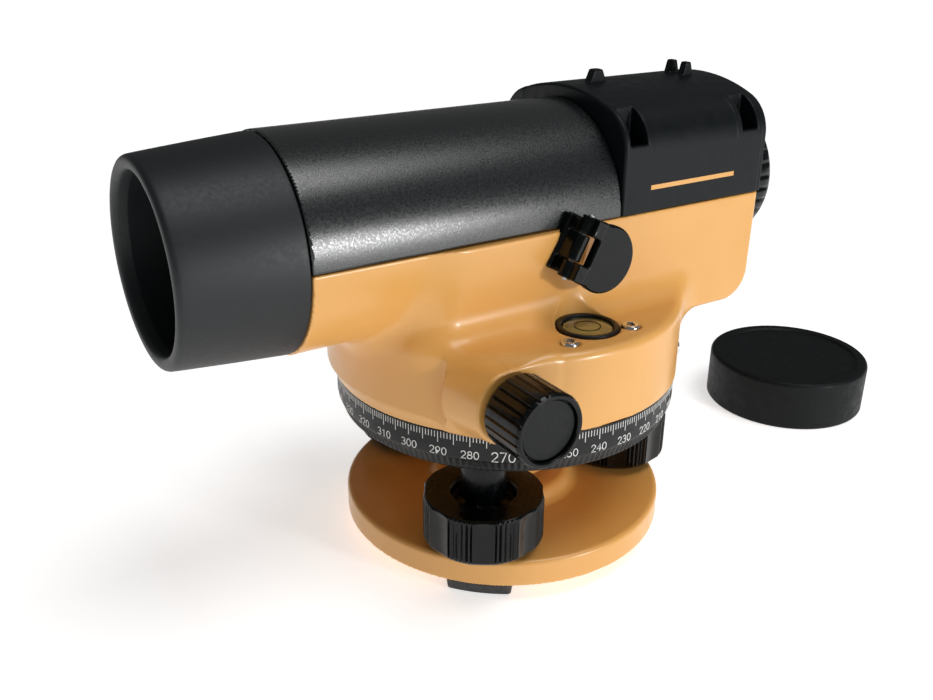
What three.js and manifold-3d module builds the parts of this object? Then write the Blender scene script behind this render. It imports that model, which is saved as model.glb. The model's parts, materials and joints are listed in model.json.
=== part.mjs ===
// Automatic level: a self-levelling surveying telescope on a three-screw levelling base.
// Units are millimetres and +Z is up. The origin is on the vertical axis, in the plane of the
// feet. The telescope lies along X: its objective points to -X and its eyepiece to +X.
import * as THREE from 'three';
import { mergeVertices } from 'three/addons/utils/BufferGeometryUtils.js';
import Module from 'manifold-3d';

const wasm = await Module();
wasm.setup();

// ---- Driving dimensions ----------------------------------------------------------------

const GAP = 0.3; // space left between pieces that touch

// Base plate and the three-armed foot plate under it
const FOOT_TOP = 5.6;
const FOOT_RADIUS = 52.2;
const FOOT_ARM_WIDTH = 20;
const BASE_RADIUS = 53.4;
const BASE_BOTTOM = FOOT_TOP + GAP;
const BASE_TOP = 14.7;
const BASE_EDGE = 1.4;
const BOSS_RADIUS = 22.3;
const BOSS_TOP = 19;
const THREAD_RADIUS = 15.875 / 2; // 5/8 inch tripod screw
const INSERT_RADIUS = 11;
const INSERT_TOP = 16.2;

// Foot screws
const SCREW_CIRCLE = 42;
const SCREW_ANGLES = { front: -133, right: -13, left: 107 };
const BALL_RADIUS = 4.4;
const BALL_Z = 10.6;
const SCREW_RADIUS = 3.6;
const SCREW_TOP = 43;
const COLLAR_RADIUS = 6;
const KNOB_RADIUS = 18.7;
const COLLAR_TOP = 17.1;
const KNOB_BOTTOM = COLLAR_TOP + GAP;
const KNOB_TOP = 33;
const KNOB_RECESS_RADIUS = 9.6;
const KNOB_RECESS_DEPTH = 4.4;
const SLEEVE_RADIUS = 7.2;
const SLEEVE_BORE = 5.3;
const SLEEVE_BOTTOM = 31;
const SLEEVE_TOP = 45.5;
const SOCKET_RADIUS = BALL_RADIUS + 0.6; // room for the ball foot in the base plate

// Tribrach, degree ring and vertical axis
const TRIBRACH_BOTTOM = 43.5;
const HUB_RADIUS = 18;
const HUB_BOTTOM = 22;
const DISC_RADIUS = 50.6;
const DISC_EDGE_Z = 45.1;
const RING_BOTTOM = 46.2;
const RING_TOP = 58.5;
const RING_RADIUS = 55.1;
const RING_BORE = 46.6;
const TOP_HUB_RADIUS = 20;
const TOP_HUB_Z = 62;
const BUSH_RADIUS = 12;
const BUSH_TOP = 65;
const WASHER_RADIUS = 15;
const SPINDLE_RADIUS = 9;
const SPINDLE_BOTTOM = TRIBRACH_BOTTOM + 0.7;
const FLANGE_RADIUS = 20;
const FLANGE_BOTTOM = 75.9;
const FLANGE_TOP = 79.4;

// Worm wheel and the tangent drive
const WHEEL_RADIUS = 27.7;
const WHEEL_TEETH = 36;
const WHEEL_TOOTH_DEPTH = 1.1;
const WHEEL_BOTTOM = BUSH_TOP + 1.8;
const WHEEL_TOP = 74;
const WORM_X = -33.2;
const WORM_Z = 70.7;
const WORM_RADIUS = 5.2;
const WORM_SHAFT_RADIUS = 3;
const WORM_HALF_LENGTH = 9;
const WORM_BUSH = { radius: 4.5, inner: 41, outer: 50.2 };
const TANGENT_KNOB_RADIUS = 10.8;
const TANGENT_KNOB_INNER_Y = 51.7;
const TANGENT_KNOB_OUTER_Y = 67.7;
const TANGENT_RECESS = { radius: 8.9, depth: 2.2 };
const TANGENT_BOSS = { y: 50.4, innerY: 20, radius: 11.5, draft: 0.165, top: 81.8 };
const KNOB_CAP_THICKNESS = 0.8;

// Housing: drum, deck and telescope body
const DRUM_RADIUS = 55.6;
const DRUM_BOTTOM = RING_TOP + GAP;
const DRUM_WALL = 3.4;
const DRUM_CEILING_Z = 76.2;
const FLANGE_SEAT = { radius: 24, z: 79.7 }; // recess above the spindle flange
const SIDE_SCREW = { angle: -32, z: 62, radius: 1.5, headRadius: 2.4 };
const DECK_Z = 83.1;
const AXIS_Z = 110.7; // telescope axis
const SEAM_Z = 110.5; // joint between the lower body and the top covers
const TUBE_RADIUS = 30.6;
const TUBE_BORE = 27.8;
const TUBE_FRONT_X = -80.3;
const REAR_X = 78.8;
const REAR_FLOOR_Z = 74.1;
const REAR_WALL_X = 76;
const REAR_CORNER = 9;
const ROOM_FLOOR_Z = 86;

// Rear cover
const COVER_FRONT_X = 19.5;
const COVER_CROWN_Z = 145.1;
const COVER_SHOULDER_Z = 128.7;
const COVER_SHOULDER_RADIUS = 13;
const COVER_WALL = 2.6;
const WELL_X = [24.7, 71];
const WELL_WIDTH = 6.6;
const WELL_FLOOR_Z = 131.1;
const WELL_SEAT_Z = 127; // where the screw heads rest, below the well's outer lip
const WELL_BACK_Y = 22;
const WELL_SEAT_WIDTH = 6.2;
const WELL_LIP = 2.2;
const WELL_SCREW_Y = 25.3;
const COVER_SCREW = { radius: 1.5, headRadius: 2.7, headHeight: 2.3, bottom: 115 };
const SIGHTS = [
  { x: 32.2, y: 0, length: 6.5, width: 3, top: 148.8 },
  { x: 67.6, y: -3.2, length: 4.4, width: 2.6, top: 149 },
  { x: 67.6, y: 3.2, length: 4.4, width: 2.6, top: 149 },
];

// Objective end
const HOOD_FRONT_X = -113.5;
const HOOD_REAR_X = TUBE_FRONT_X - GAP;

// Circular vial
const VIAL = { x: 0.7, y: -39.9, radius: 9.2 };
const VIAL_SCREWS = [[-11.2, -46.8], [11.6, -46.4], [0, -26.3]];
const VIAL_SCREW_RADIUS = 2.6;
const VIAL_DEPTH = 5.2;

// Focusing drive and carriage
const FOCUS_X = 12;
const FOCUS_Z = 97.5;
const FOCUS_BOSS = { radius: 9, inner: 28, outer: 36.7 };
const FOCUS_KNOB_RADIUS = 13;
const FOCUS_KNOB_END_Y = 51;
const PINION_TIP = 2.6;
const PINION_TEETH = 12;

// Compensator, reticle and eyepiece
const FRAME = { front: 46, rear: 60, halfWidth: 17, wall: 3.5, floor: 86.4, base: 90, top: 134 };
const PENDULUM = { x: 53, pivotZ: 126, halfWidth: 11.5, arm: 2, low: 93.5, high: 128 };
const EYEPIECE_RADIUS = 24.2;
const EYEPIECE_END_X = 92;
const EYE_TUBE_RADIUS = 11.7;
const RETICLE_X = 66.6;

// Bubble mirror on the side wall
const MIRROR_HINGE = { x: -2.65, y: -37.5, z: 107, lean: 28 };
const FLAP = { centreX: 8.2, radius: 10, back: 2.2, notch: 5.2, halfNotch: 4.2, front: -4.6, rear: -1.6 };
const HINGE = { radius: 2.3, bore: 1.35, pin: 0.9, halfBracket: 3.9, armInner: 4.3, armOuter: 9.2 };
const GLASS = { radius: 8.2, edge: 6.6, front: -2.9, thickness: 1 };

// Lens cap, lying on the ground beside the instrument
const CAP = { x: 155.8, y: 7.2, radius: 32.4, height: 20.3, bore: 29.9, roof: 3.2 };

// ---- Finishes --------------------------------------------------------------------------

const FINISH = {
  orange: { color: 0xe2a864, roughness: 0.38, metalness: 0.05 },
  tubeBlack: { color: 0x24282c, roughness: 0.55, metalness: 0.3 },
  coverBlack: { color: 0x2b3033, roughness: 0.42, metalness: 0 },
  glossBlack: { color: 0x0c0d0e, roughness: 0.18, metalness: 0 },
  satinBlack: { color: 0x1c1f21, roughness: 0.5, metalness: 0 },
  rubber: { color: 0x26282a, roughness: 0.8, metalness: 0 },
  ringBlack: { color: 0x151718, roughness: 0.45, metalness: 0 },
  steel: { color: 0xb9bcc0, roughness: 0.3, metalness: 1 },
  chrome: { color: 0xd8dadc, roughness: 0.12, metalness: 1 },
  brass: { color: 0xb8924a, roughness: 0.35, metalness: 1 },
  aluminium: { color: 0x8f9499, roughness: 0.4, metalness: 1 },
  glass: { color: 0xcfd8d2, roughness: 0.05, metalness: 0, transparent: true, opacity: 0.4 },
  vialGlass: { color: 0xa9a06a, roughness: 0.05, metalness: 0, transparent: true, opacity: 0.6 },
  mirror: { color: 0xe8ecee, roughness: 0.03, metalness: 1 },
};

// ---- Solids from three.js geometry -----------------------------------------------------

function signedVolume(position, triangles) {
  const [a, b, c] = [new THREE.Vector3(), new THREE.Vector3(), new THREE.Vector3()];
  let volume = 0;
  for (let i = 0; i < triangles.length; i += 3) {
    a.fromBufferAttribute(position, triangles[i]);
    b.fromBufferAttribute(position, triangles[i + 1]);
    c.fromBufferAttribute(position, triangles[i + 2]);
    volume += a.dot(b.cross(c)) / 6;
  }
  return volume;
}

// A manifold solid from a closed geometry, with its faces turned outwards.
function solid(shape) {
  if (!(shape instanceof THREE.BufferGeometry)) return shape;
  const bare = shape.clone();
  bare.deleteAttribute('normal');
  bare.deleteAttribute('uv');
  const merged = mergeVertices(bare, 1e-4);
  const index = merged.index.array;
  const triangles = [];
  for (let i = 0; i < index.length; i += 3) {
    const [a, b, c] = index.slice(i, i + 3);
    if (a !== b && b !== c && c !== a) triangles.push(a, b, c);
  }
  if (signedVolume(merged.attributes.position, triangles) < 0) triangles.reverse();
  return new wasm.Manifold(new wasm.Mesh({
    numProp: 3,
    vertProperties: new Float32Array(merged.attributes.position.array),
    triVerts: new Uint32Array(triangles),
  }));
}

const join = (...shapes) => shapes.map(solid).reduce((a, b) => a.add(b));
const cut = (body, ...tools) => tools.map(solid).reduce((a, b) => a.subtract(b), solid(body));
const common = (a, b) => solid(a).intersect(solid(b));

// The geometry of a solid, for a mesh.
function geometryOf(shape) {
  const mesh = solid(shape).getMesh();
  const geometry = new THREE.BufferGeometry();
  geometry.setAttribute('position', new THREE.BufferAttribute(mesh.vertProperties, 3));
  geometry.setIndex(new THREE.BufferAttribute(mesh.triVerts, 1));
  geometry.computeVertexNormals();
  return geometry;
}

// ---- Basic shapes ----------------------------------------------------------------------

const rad = THREE.MathUtils.degToRad;

function box(x0, x1, y0, y1, z0, z1) {
  const geometry = new THREE.BoxGeometry(x1 - x0, y1 - y0, z1 - z0);
  return geometry.translate((x0 + x1) / 2, (y0 + y1) / 2, (z0 + z1) / 2);
}

// A turned body about Z. The profile is a list of [radius, height]; one that never meets the
// axis is closed into a ring.
function turned(profile, segments = 18) {
  const closed = profile[0][0] > 0 ? [...profile, profile[0]] : profile;
  const points = closed.map(([r, h]) => new THREE.Vector2(r, h));
  return new THREE.LatheGeometry(points, segments).rotateX(Math.PI / 2);
}

const disc = (radius, low, high, segments = 18) =>
  turned([[0, low], [radius, low], [radius, high], [0, high]], segments);

const tube = (bore, radius, low, high, segments = 18) =>
  turned([[bore, low], [radius, low], [radius, high], [bore, high]], segments);

// Turns a body made about Z onto the telescope axis, its heights becoming X positions.
const onAxis = (geometry) => geometry.rotateY(Math.PI / 2).translate(0, 0, AXIS_Z);

// Turns a body made about Z onto a line along Y through (x, z).
const alongY = (geometry, x, z) => geometry.rotateX(-Math.PI / 2).translate(x, 0, z);

// A flat shape extruded along Z, X or Y.
function prismZ(shape, low, high) {
  const settings = { depth: high - low, bevelEnabled: false, curveSegments: 5 };
  return new THREE.ExtrudeGeometry(shape, settings).translate(0, 0, low);
}

const X = new THREE.Vector3(1, 0, 0);
const Y = new THREE.Vector3(0, 1, 0);
const Z = new THREE.Vector3(0, 0, 1);
const prismX = (shape, low, high) =>
  prismZ(shape, low, high).applyMatrix4(new THREE.Matrix4().makeBasis(Y, Z, X));
const prismY = (shape, low, high) =>
  prismZ(shape, low, high).applyMatrix4(new THREE.Matrix4().makeBasis(X, Z, Y));

// A closed outline from a radius given for each angle.
function polarShape(radiusAt, count) {
  const shape = new THREE.Shape();
  for (let i = 0; i < count; i += 1) {
    const angle = (2 * Math.PI * i) / count;
    const radius = radiusAt(angle, i);
    const [x, y] = [radius * Math.cos(angle), radius * Math.sin(angle)];
    if (i === 0) shape.moveTo(x, y);
    else shape.lineTo(x, y);
  }
  shape.closePath();
  return shape;
}

// A rim with evenly spaced shallow grooves: two points on each land and one in each groove.
const fluted = (radius, depth, count) =>
  polarShape((angle, i) => (i % 3 === 0 ? radius - depth : radius), count * 3);

const toothed = (tip, depth, count) =>
  polarShape((angle, i) => (i % 2 === 0 ? tip : tip - depth), count * 2);

// ---- The assembly ----------------------------------------------------------------------

const level = new THREE.Group();

function part(name, shape, finish) {
  const mesh = new THREE.Mesh(geometryOf(shape), new THREE.MeshStandardMaterial(finish));
  mesh.name = name;
  level.add(mesh);
}

const around = (angle, radius) =>
  [radius * Math.cos(rad(angle)), radius * Math.sin(rad(angle))];

// ---- Base: foot plate, base plate, tripod thread ---------------------------------------

function footPlate() {
  let plate = solid(disc(24, 0, FOOT_TOP));
  for (const angle of Object.values(SCREW_ANGLES)) {
    const arm = box(0, FOOT_RADIUS + 5, -FOOT_ARM_WIDTH / 2, FOOT_ARM_WIDTH / 2, 0, FOOT_TOP);
    plate = join(plate, arm.rotateZ(rad(angle)));
  }
  const rim = turned([[0, 0], [FOOT_RADIUS - 2.5, 0], [FOOT_RADIUS, FOOT_TOP], [0, FOOT_TOP]], 48);
  return cut(common(plate, rim), disc(INSERT_RADIUS + GAP, -1, FOOT_TOP + 1));
}

function basePlate() {
  const body = turned([
    [0, BASE_BOTTOM], [BASE_RADIUS, BASE_BOTTOM], [BASE_RADIUS, BASE_TOP - BASE_EDGE],
    [BASE_RADIUS - 0.3 * BASE_EDGE, BASE_TOP - 0.3 * BASE_EDGE], [BASE_RADIUS - BASE_EDGE, BASE_TOP],
    [BOSS_RADIUS + 2.7, BASE_TOP], [BOSS_RADIUS, BOSS_TOP], [0, BOSS_TOP],
  ], 40);
  const sockets = Object.values(SCREW_ANGLES).map((angle) => {
    const [x, y] = around(angle, SCREW_CIRCLE);
    return disc(SOCKET_RADIUS, 0, BOSS_TOP + 1, 12).translate(x, y, 0);
  });
  return cut(body, disc(INSERT_RADIUS + GAP, 0, INSERT_TOP + GAP), ...sockets);
}

part('foot_plate', footPlate(), FINISH.satinBlack);
part('base_plate', basePlate(), FINISH.orange);
part('tripod_thread_insert', tube(THREAD_RADIUS, INSERT_RADIUS, 0.4, INSERT_TOP), FINISH.brass);

// ---- Foot screws -----------------------------------------------------------------------

// Eight smooth scallops between groups of ribs.
function footKnobRim() {
  return polarShape((angle, i) => {
    const step = i % 6;
    if (step < 2) return KNOB_RADIUS - 1.1;
    return step % 2 === 0 ? KNOB_RADIUS : KNOB_RADIUS - 0.6;
  }, 48);
}

const footKnob = () => cut(
  prismZ(footKnobRim(), KNOB_BOTTOM, KNOB_TOP),
  disc(SCREW_RADIUS + GAP, KNOB_BOTTOM - 1, KNOB_TOP + 1, 12),
  disc(KNOB_RECESS_RADIUS, KNOB_TOP - KNOB_RECESS_DEPTH, KNOB_TOP + 1),
);

// Threaded spindle with a ball foot and a collar under the knob.
function footSpindle() {
  const ball = [-55, -25, 0, 25].map((latitude) => {
    const [r, h] = around(latitude, BALL_RADIUS);
    return [r, BALL_Z + h];
  });
  const collarBottom = BASE_TOP + 2 * GAP;
  return turned([
    [0, BALL_Z - BALL_RADIUS], ...ball, [SCREW_RADIUS, BALL_Z + 3.4], [SCREW_RADIUS, collarBottom],
    [COLLAR_RADIUS, collarBottom], [COLLAR_RADIUS, COLLAR_TOP], [SCREW_RADIUS, COLLAR_TOP],
    [SCREW_RADIUS, SCREW_TOP], [0, SCREW_TOP],
  ], 12);
}

for (const [place, angle] of Object.entries(SCREW_ANGLES)) {
  const [x, y] = around(angle, SCREW_CIRCLE);
  const move = (shape) => geometryOf(shape).translate(x, y, 0);
  part(`foot_screw_spindle_${place}`, move(footSpindle()), FINISH.steel);
  part(`foot_screw_knob_${place}`, move(footKnob()), FINISH.glossBlack);
  const sleeve = tube(SLEEVE_BORE, SLEEVE_RADIUS, SLEEVE_BOTTOM, SLEEVE_TOP, 16);
  part(`foot_screw_sleeve_${place}`, move(sleeve), FINISH.glossBlack);
}

// ---- Tribrach, degree ring, vertical axis ----------------------------------------------

function tribrachBody() {
  const body = turned([
    [0, HUB_BOTTOM], [HUB_RADIUS, HUB_BOTTOM], [HUB_RADIUS, TRIBRACH_BOTTOM],
    [DISC_RADIUS - 4, TRIBRACH_BOTTOM], [DISC_RADIUS, DISC_EDGE_Z], [DISC_RADIUS, RING_BOTTOM - GAP],
    [RING_BORE - 2 * GAP, RING_BOTTOM - GAP], [RING_BORE - 2 * GAP, RING_TOP - 1],
    [TOP_HUB_RADIUS, RING_TOP - 1], [TOP_HUB_RADIUS, TOP_HUB_Z], [0, TOP_HUB_Z],
  ], 32);
  const bores = Object.values(SCREW_ANGLES).map((angle) => {
    const [x, y] = around(angle, SCREW_CIRCLE);
    return disc(SLEEVE_RADIUS + 0.5, SLEEVE_BOTTOM - 1, RING_BOTTOM - 0.5, 16).translate(x, y, 0);
  });
  return cut(body, disc(BUSH_RADIUS + GAP, TRIBRACH_BOTTOM, TOP_HUB_Z + 1), ...bores);
}

part('tribrach_body', tribrachBody(), FINISH.orange);
const axisBush = tube(SPINDLE_RADIUS + GAP, BUSH_RADIUS, TRIBRACH_BOTTOM + GAP, BUSH_TOP);
part('axis_bush', axisBush, FINISH.brass);
const clutchWasher = tube(SPINDLE_RADIUS + 2 * GAP, WASHER_RADIUS, BUSH_TOP + GAP, WHEEL_BOTTOM - GAP);
part('clutch_washer', clutchWasher, FINISH.steel);

part('degree_ring', turned([
  [RING_BORE, RING_BOTTOM], [RING_RADIUS - 1.5, RING_BOTTOM], [RING_RADIUS, RING_BOTTOM + 4],
  [RING_RADIUS, RING_TOP], [RING_BORE, RING_TOP],
], 48), FINISH.ringBlack);

part('worm_wheel', cut(
  prismZ(toothed(WHEEL_RADIUS, WHEEL_TOOTH_DEPTH, WHEEL_TEETH), WHEEL_BOTTOM, WHEEL_TOP),
  disc(SPINDLE_RADIUS + 0.5, WHEEL_BOTTOM - 1, WHEEL_TOP + 1),
), FINISH.brass);

part('vertical_spindle', turned([
  [0, SPINDLE_BOTTOM], [SPINDLE_RADIUS, SPINDLE_BOTTOM], [SPINDLE_RADIUS, FLANGE_BOTTOM],
  [FLANGE_RADIUS, FLANGE_BOTTOM], [FLANGE_RADIUS, FLANGE_TOP], [0, FLANGE_TOP],
]), FINISH.steel);

// ---- Main housing ----------------------------------------------------------------------

function rearOutline() {
  const shape = new THREE.Shape();
  shape.moveTo(0, SEAM_Z);
  shape.lineTo(0, REAR_FLOOR_Z);
  shape.lineTo(REAR_X - REAR_CORNER - 0.6, REAR_FLOOR_Z);
  shape.quadraticCurveTo(REAR_X - 0.8, REAR_FLOOR_Z, REAR_X - 0.4, REAR_FLOOR_Z + REAR_CORNER);
  shape.lineTo(REAR_X, SEAM_Z);
  shape.closePath();
  return shape;
}

// Bosses that carry the ends of the tangent shaft: round and drafted, with a flat top.
function tangentBosses() {
  const { y, innerY, radius, draft, top } = TANGENT_BOSS;
  const wide = radius + draft * (y - innerY);
  const profile = [[0, -y], [radius, -y], [wide, -innerY], [wide, innerY], [radius, y], [0, y]];
  const cone = turned(profile, 28);
  const flank = box(WORM_X - 2, WORM_X + 14, -y, y, DRUM_BOTTOM, top);
  const limits = box(-DRUM_RADIUS, 0, -y, y, DRUM_BOTTOM, top);
  return common(join(alongY(cone, WORM_X, WORM_Z), flank), limits);
}

function housingOutside() {
  const drum = turned([
    [0, DRUM_BOTTOM], [DRUM_RADIUS, DRUM_BOTTOM], [DRUM_RADIUS, DECK_Z - 2.5],
    [DRUM_RADIUS - 0.7, DECK_Z - 0.7], [DRUM_RADIUS - 2.5, DECK_Z], [0, DECK_Z],
  ], 48);
  const neckBottom = DRUM_BOTTOM + 1.2;
  const neckProfile = [[0, neckBottom], [DRUM_RADIUS, neckBottom], [52.3, SEAM_Z], [0, SEAM_Z]];
  const neckLimits = box(-DRUM_RADIUS - 1, 2, -TUBE_RADIUS, TUBE_RADIUS, neckBottom, SEAM_Z);
  const neck = common(turned(neckProfile, 48), neckLimits);
  const rear = prismY(rearOutline(), -TUBE_RADIUS, TUBE_RADIUS);
  const round = onAxis(disc(TUBE_RADIUS, TUBE_FRONT_X, 2, 40));
  const halfTube = common(round, box(-100, 5, -40, 40, 60, SEAM_Z));
  const bossDisc = disc(FOCUS_BOSS.radius, FOCUS_BOSS.inner, FOCUS_BOSS.outer);
  const focusBoss = alongY(bossDisc, FOCUS_X, FOCUS_Z);
  return join(drum, neck, rear, halfTube, tangentBosses(), focusBoss);
}

// Pocket in the side wall that leaves room for the vial screw nearest to it.
function wallPocket() {
  const [x, y] = VIAL_SCREWS[2];
  const radius = VIAL_SCREW_RADIUS + 1.6;
  const domeZ = DECK_Z + 1.5;
  return turned([
    [0, DECK_Z - 0.1], [radius, DECK_Z - 0.1], [radius, domeZ], [0.7 * radius, domeZ + 0.7 * radius],
    [0, domeZ + radius],
  ], 16).translate(x, y, 0);
}

// Turns a body made about Z to point out of the drum's side at the side screw's place.
const onDrumSide = (geometry) => geometry.rotateY(Math.PI / 2)
  .rotateZ(rad(SIDE_SCREW.angle)).translate(0, 0, SIDE_SCREW.z);

function mainHousing() {
  const drumCavity = turned([
    [0, DRUM_BOTTOM - 1], [DRUM_RADIUS - DRUM_WALL, DRUM_BOTTOM - 1],
    [DRUM_RADIUS - DRUM_WALL, DRUM_CEILING_Z], [FLANGE_SEAT.radius, DRUM_CEILING_Z],
    [FLANGE_SEAT.radius, FLANGE_SEAT.z], [0, FLANGE_SEAT.z],
  ], 40);
  const bore = onAxis(disc(TUBE_BORE, TUBE_FRONT_X - 1, REAR_WALL_X, 40));
  const roomHalf = TUBE_BORE - 0.4;
  const rearRoom = box(8, REAR_WALL_X, -roomHalf, roomHalf, ROOM_FLOOR_Z, SEAM_Z + 1);
  const eyeHole = onAxis(disc(EYE_TUBE_RADIUS + GAP, REAR_WALL_X - 2, REAR_X + 2));
  const wormHole = alongY(disc(WORM_BUSH.radius + GAP, -60, 60, 16), WORM_X, WORM_Z);
  const pinionHole = alongY(disc(3.4, 20, 40, 12), FOCUS_X, FOCUS_Z);
  const vialPocket = disc(VIAL.radius + GAP, DECK_Z - VIAL_DEPTH - GAP, DECK_Z + 1, 24);
  const screwHoles = VIAL_SCREWS.map(([x, y]) =>
    disc(VIAL_SCREW_RADIUS + GAP, DECK_Z - 3, DECK_Z + 3, 12).translate(x, y, 0));
  const sideHole = onDrumSide(disc(SIDE_SCREW.radius + GAP, 50, 60, 12));
  return cut(
    housingOutside(), drumCavity, bore, rearRoom, eyeHole, wormHole, pinionHole,
    vialPocket.translate(VIAL.x, VIAL.y, 0), wallPocket(), ...screwHoles, sideHole,
  );
}

part('main_housing', mainHousing(), FINISH.orange);
part('drum_side_screw', onDrumSide(geometryOf(join(
  disc(SIDE_SCREW.radius, DRUM_RADIUS - 4.6, DRUM_RADIUS + 0.6, 8),
  disc(SIDE_SCREW.headRadius, DRUM_RADIUS + GAP, DRUM_RADIUS + 1.9, 12),
))), FINISH.chrome);

// ---- Tangent drive ---------------------------------------------------------------------

// Worm thread: a small section carried along a helix.
function wormThread() {
  const [turns, pitch, stepsPerTurn] = [3, 4.8, 8];
  const mean = WORM_RADIUS - 1;
  const points = [];
  for (let i = 0; i <= turns * stepsPerTurn; i += 1) {
    const angle = (2 * Math.PI * i) / stepsPerTurn;
    const height = (i / stepsPerTurn - turns / 2) * pitch;
    points.push(new THREE.Vector3(mean * Math.cos(angle), mean * Math.sin(angle), height));
  }
  const section = polarShape(() => 1, 4); // a square ridge, 1 mm from middle to corner
  return new THREE.ExtrudeGeometry(section, {
    steps: turns * stepsPerTurn, bevelEnabled: false, extrudePath: new THREE.CatmullRomCurve3(points),
  });
}

const wormShaft = () => join(
  disc(WORM_SHAFT_RADIUS, -TANGENT_KNOB_OUTER_Y + 2.5, TANGENT_KNOB_OUTER_Y - 2.5, 12),
  disc(WORM_RADIUS - 1.4, -WORM_HALF_LENGTH, WORM_HALF_LENGTH, 12),
  wormThread(),
);

part('worm_shaft', alongY(geometryOf(wormShaft()), WORM_X, WORM_Z), FINISH.steel);

const tangentKnob = () => cut(
  prismZ(fluted(TANGENT_KNOB_RADIUS, 0.45, 18), TANGENT_KNOB_INNER_Y, TANGENT_KNOB_OUTER_Y),
  disc(WORM_SHAFT_RADIUS + GAP, TANGENT_KNOB_INNER_Y - 1, TANGENT_KNOB_OUTER_Y, 12),
  disc(TANGENT_RECESS.radius, TANGENT_KNOB_OUTER_Y - TANGENT_RECESS.depth, TANGENT_KNOB_OUTER_Y + 1),
);

for (const [side, turn] of [['left', 180], ['right', 0]]) {
  const place = (shape) =>
    alongY(geometryOf(shape), 0, 0).rotateX(rad(turn)).translate(WORM_X, 0, WORM_Z);
  const bush = tube(WORM_SHAFT_RADIUS + GAP, WORM_BUSH.radius, WORM_BUSH.inner, WORM_BUSH.outer, 12);
  part(`worm_bush_${side}`, place(bush), FINISH.brass);
  part(`tangent_knob_${side}`, place(tangentKnob()), FINISH.glossBlack);
  const faceBottom = TANGENT_KNOB_OUTER_Y - TANGENT_RECESS.depth + GAP;
  const face = disc(TANGENT_RECESS.radius - GAP, faceBottom, faceBottom + KNOB_CAP_THICKNESS);
  part(`tangent_knob_cap_${side}`, place(face), FINISH.satinBlack);
}

// ---- Telescope covers ------------------------------------------------------------------

const topShellTube = cut(
  onAxis(disc(TUBE_RADIUS, TUBE_FRONT_X, COVER_FRONT_X - GAP, 40)),
  onAxis(disc(TUBE_BORE, TUBE_FRONT_X - 1, COVER_FRONT_X + 1, 40)),
);
const topShell = common(topShellTube, box(-90, 30, -40, 40, SEAM_Z + GAP, 160));
part('tube_top_shell', topShell, FINISH.tubeBlack);

// Cross-section of the rear cover, shrunk inwards by inset: straight sides, round shoulders
// and a flatter crown arc that meets the shoulders smoothly.
function coverOutline(inset, bottom) {
  const shoulder = COVER_SHOULDER_RADIUS;
  const shoulderY = TUBE_RADIUS - shoulder;
  const rise = COVER_CROWN_Z - COVER_SHOULDER_Z;
  const crown = (shoulderY ** 2 + rise ** 2 - shoulder ** 2) / (2 * (rise - shoulder));
  const centreZ = COVER_CROWN_Z - crown;
  const meet = Math.atan2(COVER_SHOULDER_Z - centreZ, shoulderY);
  const shape = new THREE.Shape();
  shape.moveTo(-TUBE_RADIUS + inset, bottom);
  shape.lineTo(TUBE_RADIUS - inset, bottom);
  shape.absarc(shoulderY, COVER_SHOULDER_Z, shoulder - inset, 0, meet, false);
  shape.absarc(0, centreZ, crown - inset, meet, Math.PI - meet, false);
  shape.absarc(-shoulderY, COVER_SHOULDER_Z, shoulder - inset, Math.PI - meet, Math.PI, false);
  shape.closePath();
  return shape;
}

// A sight post with sloping front and back.
function sightPost({ x, y, length, width, top }) {
  const shape = new THREE.Shape();
  shape.moveTo(x - length / 2, COVER_CROWN_Z - 2);
  shape.lineTo(x + length / 2, COVER_CROWN_Z - 2);
  shape.lineTo(x + length / 4, top);
  shape.lineTo(x - length / 4, top);
  shape.closePath();
  return prismY(shape, y - width / 2, y + width / 2);
}

const coverSides = WELL_X.flatMap((x) => [-1, 1].map((side) => ({ x, side })));

// A box on one side of the cover, its Y limits measured outwards from the middle.
function sideBox(x, side, half, inner, outer, low, high) {
  const [y0, y1] = side < 0 ? [-outer, -inner] : [inner, outer];
  return box(x - half, Math.min(x + half, REAR_X), y0, y1, low, high);
}

function rearCover() {
  const bottom = SEAM_Z + GAP;
  const outside = prismX(coverOutline(0, bottom), COVER_FRONT_X, REAR_X);
  const inside = prismX(coverOutline(COVER_WALL, bottom - 1), COVER_FRONT_X + COVER_WALL, REAR_WALL_X);
  const half = WELL_WIDTH / 2;
  const columns = coverSides.map(({ x, side }) => {
    const column = sideBox(x, side, half + 2, WELL_BACK_Y - 2, TUBE_RADIUS, bottom, COVER_CROWN_Z);
    return common(column, outside);
  });
  const seatHalf = WELL_SEAT_WIDTH / 2;
  const lipY = TUBE_RADIUS - WELL_LIP;
  const wells = coverSides.flatMap(({ x, side }) => [
    sideBox(x, side, half, WELL_BACK_Y, TUBE_RADIUS + 2, WELL_FLOOR_Z, COVER_CROWN_Z + 5),
    sideBox(x, side, seatHalf, WELL_BACK_Y + 0.2, lipY, WELL_SEAT_Z, WELL_FLOOR_Z + 1),
    disc(COVER_SCREW.radius + GAP, COVER_SCREW.bottom - 1, WELL_FLOOR_Z, 8)
      .translate(x, WELL_SCREW_Y * side, 0),
  ]);
  const opening = onAxis(disc(TUBE_BORE - GAP, COVER_FRONT_X - 1, COVER_FRONT_X + COVER_WALL + 1, 40));
  const eyeHole = onAxis(disc(EYE_TUBE_RADIUS + GAP, REAR_WALL_X - 1, REAR_X + 1));
  const shell = join(cut(outside, inside), ...columns, ...SIGHTS.map(sightPost));
  return cut(shell, ...wells, opening, eyeHole);
}

part('rear_cover', rearCover(), FINISH.coverBlack);

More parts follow.
